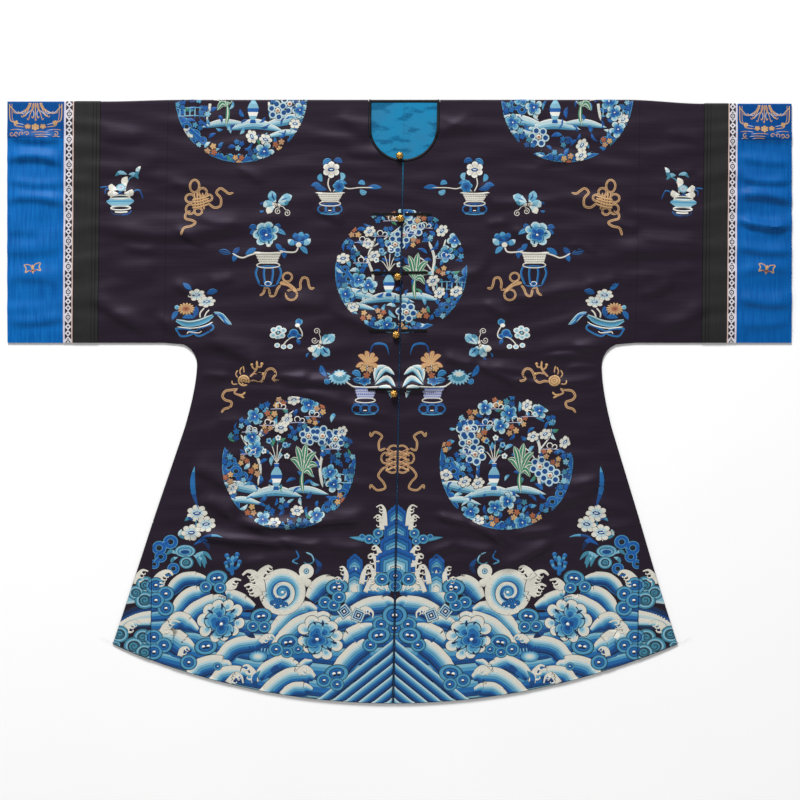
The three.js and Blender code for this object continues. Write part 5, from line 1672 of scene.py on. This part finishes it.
def hem_band(n):
    """The standing water of the hem: straight rays at the centre, waves over one another with
    clouds, foam and peonies between, and a peak that stands in the middle."""
    out = np.linspace(0, 250, 60)
    floor = hem_drop(out * UNIT) / UNIT
    crest = np.interp(out, [0, 60, 90, 113, 150, 200, 225, 250], [503, 508, 505, 514, 514, 500, 505, 510])
    path = joined(-out, (floor + crest) / 2 + 1)
    n.strip(path, (floor - crest) / 2 + 3, ", ".join(["mid 1.4, deep 1, ink .2, light .9, sky 1"] * 6),
            across=True, level=(0, 1))
    mountain(n.above(1), -40.9, 492, [(453, 8.0), (466, 12.0)])
    for layer, width, points in WAVES:
        wave(n.above(layer), points, 1.22 * width)
    whirl(n.above(3), -112.7, 491.6)
    for y in (538.4, 550.9, 562.0, 573.6, 585.3, 596.6, 608.0):
        x = np.linspace(0, 92, 30)
        text = "ink .3, pale 1.7, light 1.5, ink .2, sky 1.5, mid 2.2, ink .2, deep 2, navy 2"
        n.above(8).strip(joined(-x, y + 5.8 + 0.8 * x), 5.9, text, across=True, level=(0, 1))
    for a, b, turn in ((50.6, 511, 38), (36.4, 515, -22)):
        square = polar(0, 0, 1, 45 + turn, 405 + turn, 5)[:-1] * 8.6
        n.moved(-a, b, layer=9).fan(square, (0, 0),
                                    "ink .5, pale 1.3, ink .5, mid .9, pale .7, navy 1.6, white 1")
    peony(n.above(9), -74.3, 537.6, 1.0, 0)
    peony(n.above(9), -172.9, 520.7, 1.0, 60)
    for x, y, turn in ((-98, 541, 200), (-150, 531, 330)):
        n.above(9).blade([(x, y), polar(x, y, 6, turn, turn, 1)[0], polar(x, y, 13, turn, turn, 1)[0]], 7,
                         "deep 1, navy 1")
    for a in (-7.5, -4.5, -1.5, 1.5, 4.5, 7.5):
        n.above(9).blade([(a * grow - 135.7, y) for grow, y in ((1, 553), (1.1, 549), (1.2, 545))], 2.2,
                         "deep", count=5)
    n.above(10).disc(-135.7, 556, 9.6, "ink .5, sky 2, light 1.6, pale 2, cream 2", 0.6, 18)
    n.above(9).blade([(-136, 588), (-139, 578), (-133, 570)], 7, "deep 1, mid 1, teal 1")
    n.above(9).blade([(-130, 579), (-120, 569), (-112, 562)], 6, "mid 1, deep 1, mid 1")
    for k, (a, b, size, eyes) in enumerate(HEM_CLOUDS):
        cloud_head(n.above(9 + k % 3), -a, b, size, eyes, 8 if eyes == 2 else 0)
    for hand, width, points in HEM_FOAM:
        foam(n.above(8), hand, width, points)
    for x, y, turn in NICKS:
        nicks(n.above(9), x, y, turn)
    mountain(n.above(6), 0, 472, [(404, 9.5), (418.5, 12.5), (432.5, 16), (447, 20)])
    for x, y, size in ((-18, 433, 0.62), (-27, 439, 0.6), (-20, 441, 0.5)):
        cloud_head(n.above(1), x, y, size, 1)
    n.blade([(-16, 438), (-31, 438.8), (-47, 437)], 7.0, "ink .4, teal 1, sky 1.6, teal 1, ink .4",
            bend=0.7, across=True)
    n.disc(-34, 436.4, 3.6, "ink .5, sky 1.2, deep 1, mid 1", 0.8, 12)
    # over the crests: a ringed pearl on a cream swell, with a leaf and two curling tendrils
    n.above(4).cordlet([(-95, 474), (-91, 480), (-84, 485)], 8, "cream", 8)
    n.above(5).disc(-89.1, 471, 7.8, "ink .4, cream 4.6, teal 1.1, pale .9, deep 1", 1.0, 18)
    n.blade([(-80, 474), (-76, 466), (-81, 458)], 5.5, "navy 1, deep 1")
    n.cordlet([(-100, 450), (-97, 457), (-103, 461), (-97, 464)], 1.6, "mid 1, sky 1")
    n.cordlet([(-92, 462), (-87, 464), (-82, 461), (-84, 455), (-90, 452)], 1.6, "teal 1, light 1")


def gore_band(n):
    """The hem's water goes on over the gore, in greyer silks."""
    lines = [((-290, 527), (-262, 512), (-240, 506), 4.4, "ink .4, navy 2, deep 2"),
             ((-290, 534), (-264, 518), (-240, 512), 4.6, "ink .4, cream 5, pale 2, light 1"),
             ((-290, 552), (-268, 526), (-240, 522), 6.0, "ink .4, cream 4, pale 1, light 1, dusk 1, navy 2"),
             ((-290, 500), (-270, 498), (-240, 494), 6.0, "ink .4, teal 2, light 2, pale 1"),
             ((-290, 575), (-268, 556), (-240, 548), 9.0,
              "ink .4, navy 2, cream 4, pale 2, light 1, teal 1, dusk 1"),
             ((-290, 600), (-262, 574), (-240, 562), 9.0, "ink .4, cream 4, pale 2, light 1, teal 1, navy 2")]
    for *points, half, text in lines:
        n.strip(curve(points, 20), half, text, across=True)
    foam(n.above(2), 1, 7, [(-259, 484), (-258, 476), (-253, 470), (-247, 471)])
    foam(n.above(2), 1, 8, [(-270, 534), (-267, 525), (-260, 521), (-254, 524)])
    for k, (a, b, size) in enumerate(((249.5, 484.5, 1.0), (259.2, 492.5, 0.85), (250, 500, 1.05),
                                      (251.4, 537, 1.0), (260.2, 546, 1.1), (249.6, 552, 1.0),
                                      (275.4, 534, 1.0), (279, 545, 0.5), (270, 560, 0.5))):
        cloud_spiral(n.above(3 + k % 3), -a, b, size, -1 if k % 2 else 1)
    for a, b in ((241, 485.5), (241, 500), (241.5, 537), (241.5, 551.5)):
        cloud_head(n.above(5), -a, b, 1.0, 1)


def cuff_gold(n):
    """Couched gold at the top of the cuff: long strands that fall from the fold inside a double
    frame with a blossom at its foot, then a row of scrolls and cloud lines."""
    n = n.moved(-364, 0)
    for hand in (-1, 1):
        for inset, wide, text in ((0, 1.1, "gold 1, tan 1"), (2.4, 0.8, "tan 1, lavender .5")):
            line = [(25.4 - inset, 0), (25.4 - inset, 12), (24.6 - inset, 19), (21 - inset, 21.4),
                    (19.5 - inset, 24.6 - inset), (11, 26 - inset)]
            n.cordlet([(hand * x, y) for x, y in line], wide, text, 24)
        n.above(1).bloom(hand * 19, 21.6, 2.8, 4, "brown .3, gold 1, tan 1", angle=20)
        n.above(2).bloom(hand * 7.4, 25.4, 3.8, 5, "brown .3, tan 1, gold 1", angle=90 * hand, squash=0.8)
        n.cordlet([(hand * 25, 29), (hand * 18, 28.4), (hand * 11, 29.6)], 0.7, "tan 1, lavender 1", 8)
    n.above(3).bloom(0, 26, 4.4, 6, "brown .3, gold 1, tan .6, gold 1", squash=0.9)
    for k in range(-7, 8):
        bow = 2.2 * math.sin(1.7 * k)
        tip = np.array([3.3 * k - 0.4 * bow, 19.5 - 0.22 * k * k - 2.4 * (k % 2)])
        strand = [(0.9 * k, 0), (1.2 * k + bow, 6), (2.3 * k - bow * 0.4, 12), tip,
                  tip + (-1.4 if k < 0 else 1.4, -1.8)]
        n.above(1).cordlet(strand, 1.0, ("gold 1, tan 1", "tan 1, lavender .6, gold 1")[k % 2], 14)
    for k, x in enumerate((-23, -18, -13, -8, 20)):
        turn = np.linspace(0.3, 2.1 * math.pi, 11)
        reach = 2.9 - 0.4 * turn
        coil = joined(x + reach * np.cos(turn + k), 33 + reach * np.sin(turn + k))
        n.above(1).strip(coil, 0.45, "tan")
    for start, end, y in ((-4, 14, 31.4), (-1, 16, 34), (0, 13, 36.2), (17, 24, 36)):
        n.above(1).cordlet([(start, y), ((start + end) / 2, y - 0.6), (end, y)], 0.8, "tan 1, lavender .6", 8)


def gold_bat(n):
    """A small bat: two scalloped wings in outline about a slim body."""
    for hand in (-1, 1):
        wing = [(0, 1), (2.6, -3.6), (8, -4.4), (6.4, -0.6), (7.6, 3.4), (3.6, 2), (0, 4)]
        n.strip(curve([(hand * x, y) for x, y in wing], 22), 0.6, "tan 1, gold 1, rust .6")
    n.above(1).blade([(0, -4), (0, 0), (0, 6)], 3.0, "gold 1, tan 1, brown .5, gold 1")


UPPER = [
    # what, and how far out and down it lies
    (neck_vase, 71.6, 70), (peony_vase, 135.8, 134), (boat_basket, 203.7, 196), (flower_bowl, 32.4, 263),
    (sprig, 121, 233), (endless_knot, 203, 102), (small_knot, 112, 184), (flaming_disc, 155.1, 280),
    (side_plants, 202.5, 367),
]
silk = Finish("embroidery_silk", Roughness=0.5, Specular_IOR_Level=0.3, Sheen_Weight=0.06,
              Sheen_Roughness=0.4)
lie = silk.uv("weave")
threads = silk.noise(silk.stretched(lie, (2600.0, 160.0, 1.0)), 1.0, 2.0)
dyed = silk.add("ShaderNodeAttribute", {"attribute_name": "thread"})
silk.feed("Base Color", silk.mix(0.9, dyed, silk.mix(threads, (0.55, 0.55, 0.55), (1.25, 1.25, 1.25)),
                                 "MULTIPLY"))
silk.feed("Roughness", 0.42 + 0.2 * threads)
silk.relief(threads, 0.0003, 0.5)


def begun(name, side, face, inner, outer):
    """A piece of embroidery and its needle, which starts where the centre line meets the fold."""
    where = ("front_" if face > 0 else "back_") + ("left" if side < 0 else "right")
    work = Embroidery(f"silk_{name}_{where}", side, face, inner, outer)
    return work, Needle(work, (0, 0), UNIT * np.diag([-side, face]))


for side, word in ((-1, "left"), (1, "right")):
    for face in (1, -1):
        body = (1.95 if face > 0 else 0.35, GORE_SEAM - 0.5)
        work, n = begun("hem_waves", side, face, *body)
        hem_band(n)
        work.sew(silk)
        work, n = begun("gore_waves", side, face, GORE_SEAM + 0.5, lambda down: side_at(down) - 1.6)
        gore_band(n)
        work.sew(silk)
        work, n = begun("flowers", side, face, *body)
        for draw, a, b in UPPER:
            draw(n.moved(-a, b))
        butterfly(n.moved(-125.6, 104))
        butterfly(n.moved(-79, 245), -115, -1)
        coral(n, -163, 473, 1.25)
        ribbon_tails(n.moved(0, 360, flip=-1))
        work.sew(silk)
        work, n = begun("garden_skirt", side, face, *body)
        roundel(n.moved(-108.6, 363, size=1.01), 3 if side < 0 else 8)
        work.sew(silk)
        work, _ = begun("garden_chest", side, face, *body)
        roundel(Needle(work, (0, 171.5 * UNIT * face), UNIT * np.diag([1.0, face * 0.94])), 5)
        work.sew(silk)
        work, n = begun("sleeve_bowl", side, face, SLEEVE_SEAM + 1, BAND_SEAM - 1)
        petal_vase(n.moved(-280.6, 92))
        work.sew(silk)
        work, n = begun("cuff_gold", side, face, CUFF_SEAM + 1, REACH - 1)
        cuff_gold(n)
        gold_bat(n.moved(-366.2, 168, 8))
        work.sew(silk)
    work = Embroidery(f"silk_garden_shoulder_{word}", side, 1, 60.0, SLEEVE_SEAM - 1)
    roundel(Needle(work, (side * 162.8 * UNIT, -3 * UNIT), UNIT * np.diag([-side, 1.0])), 11 + side)
    work.sew(silk)
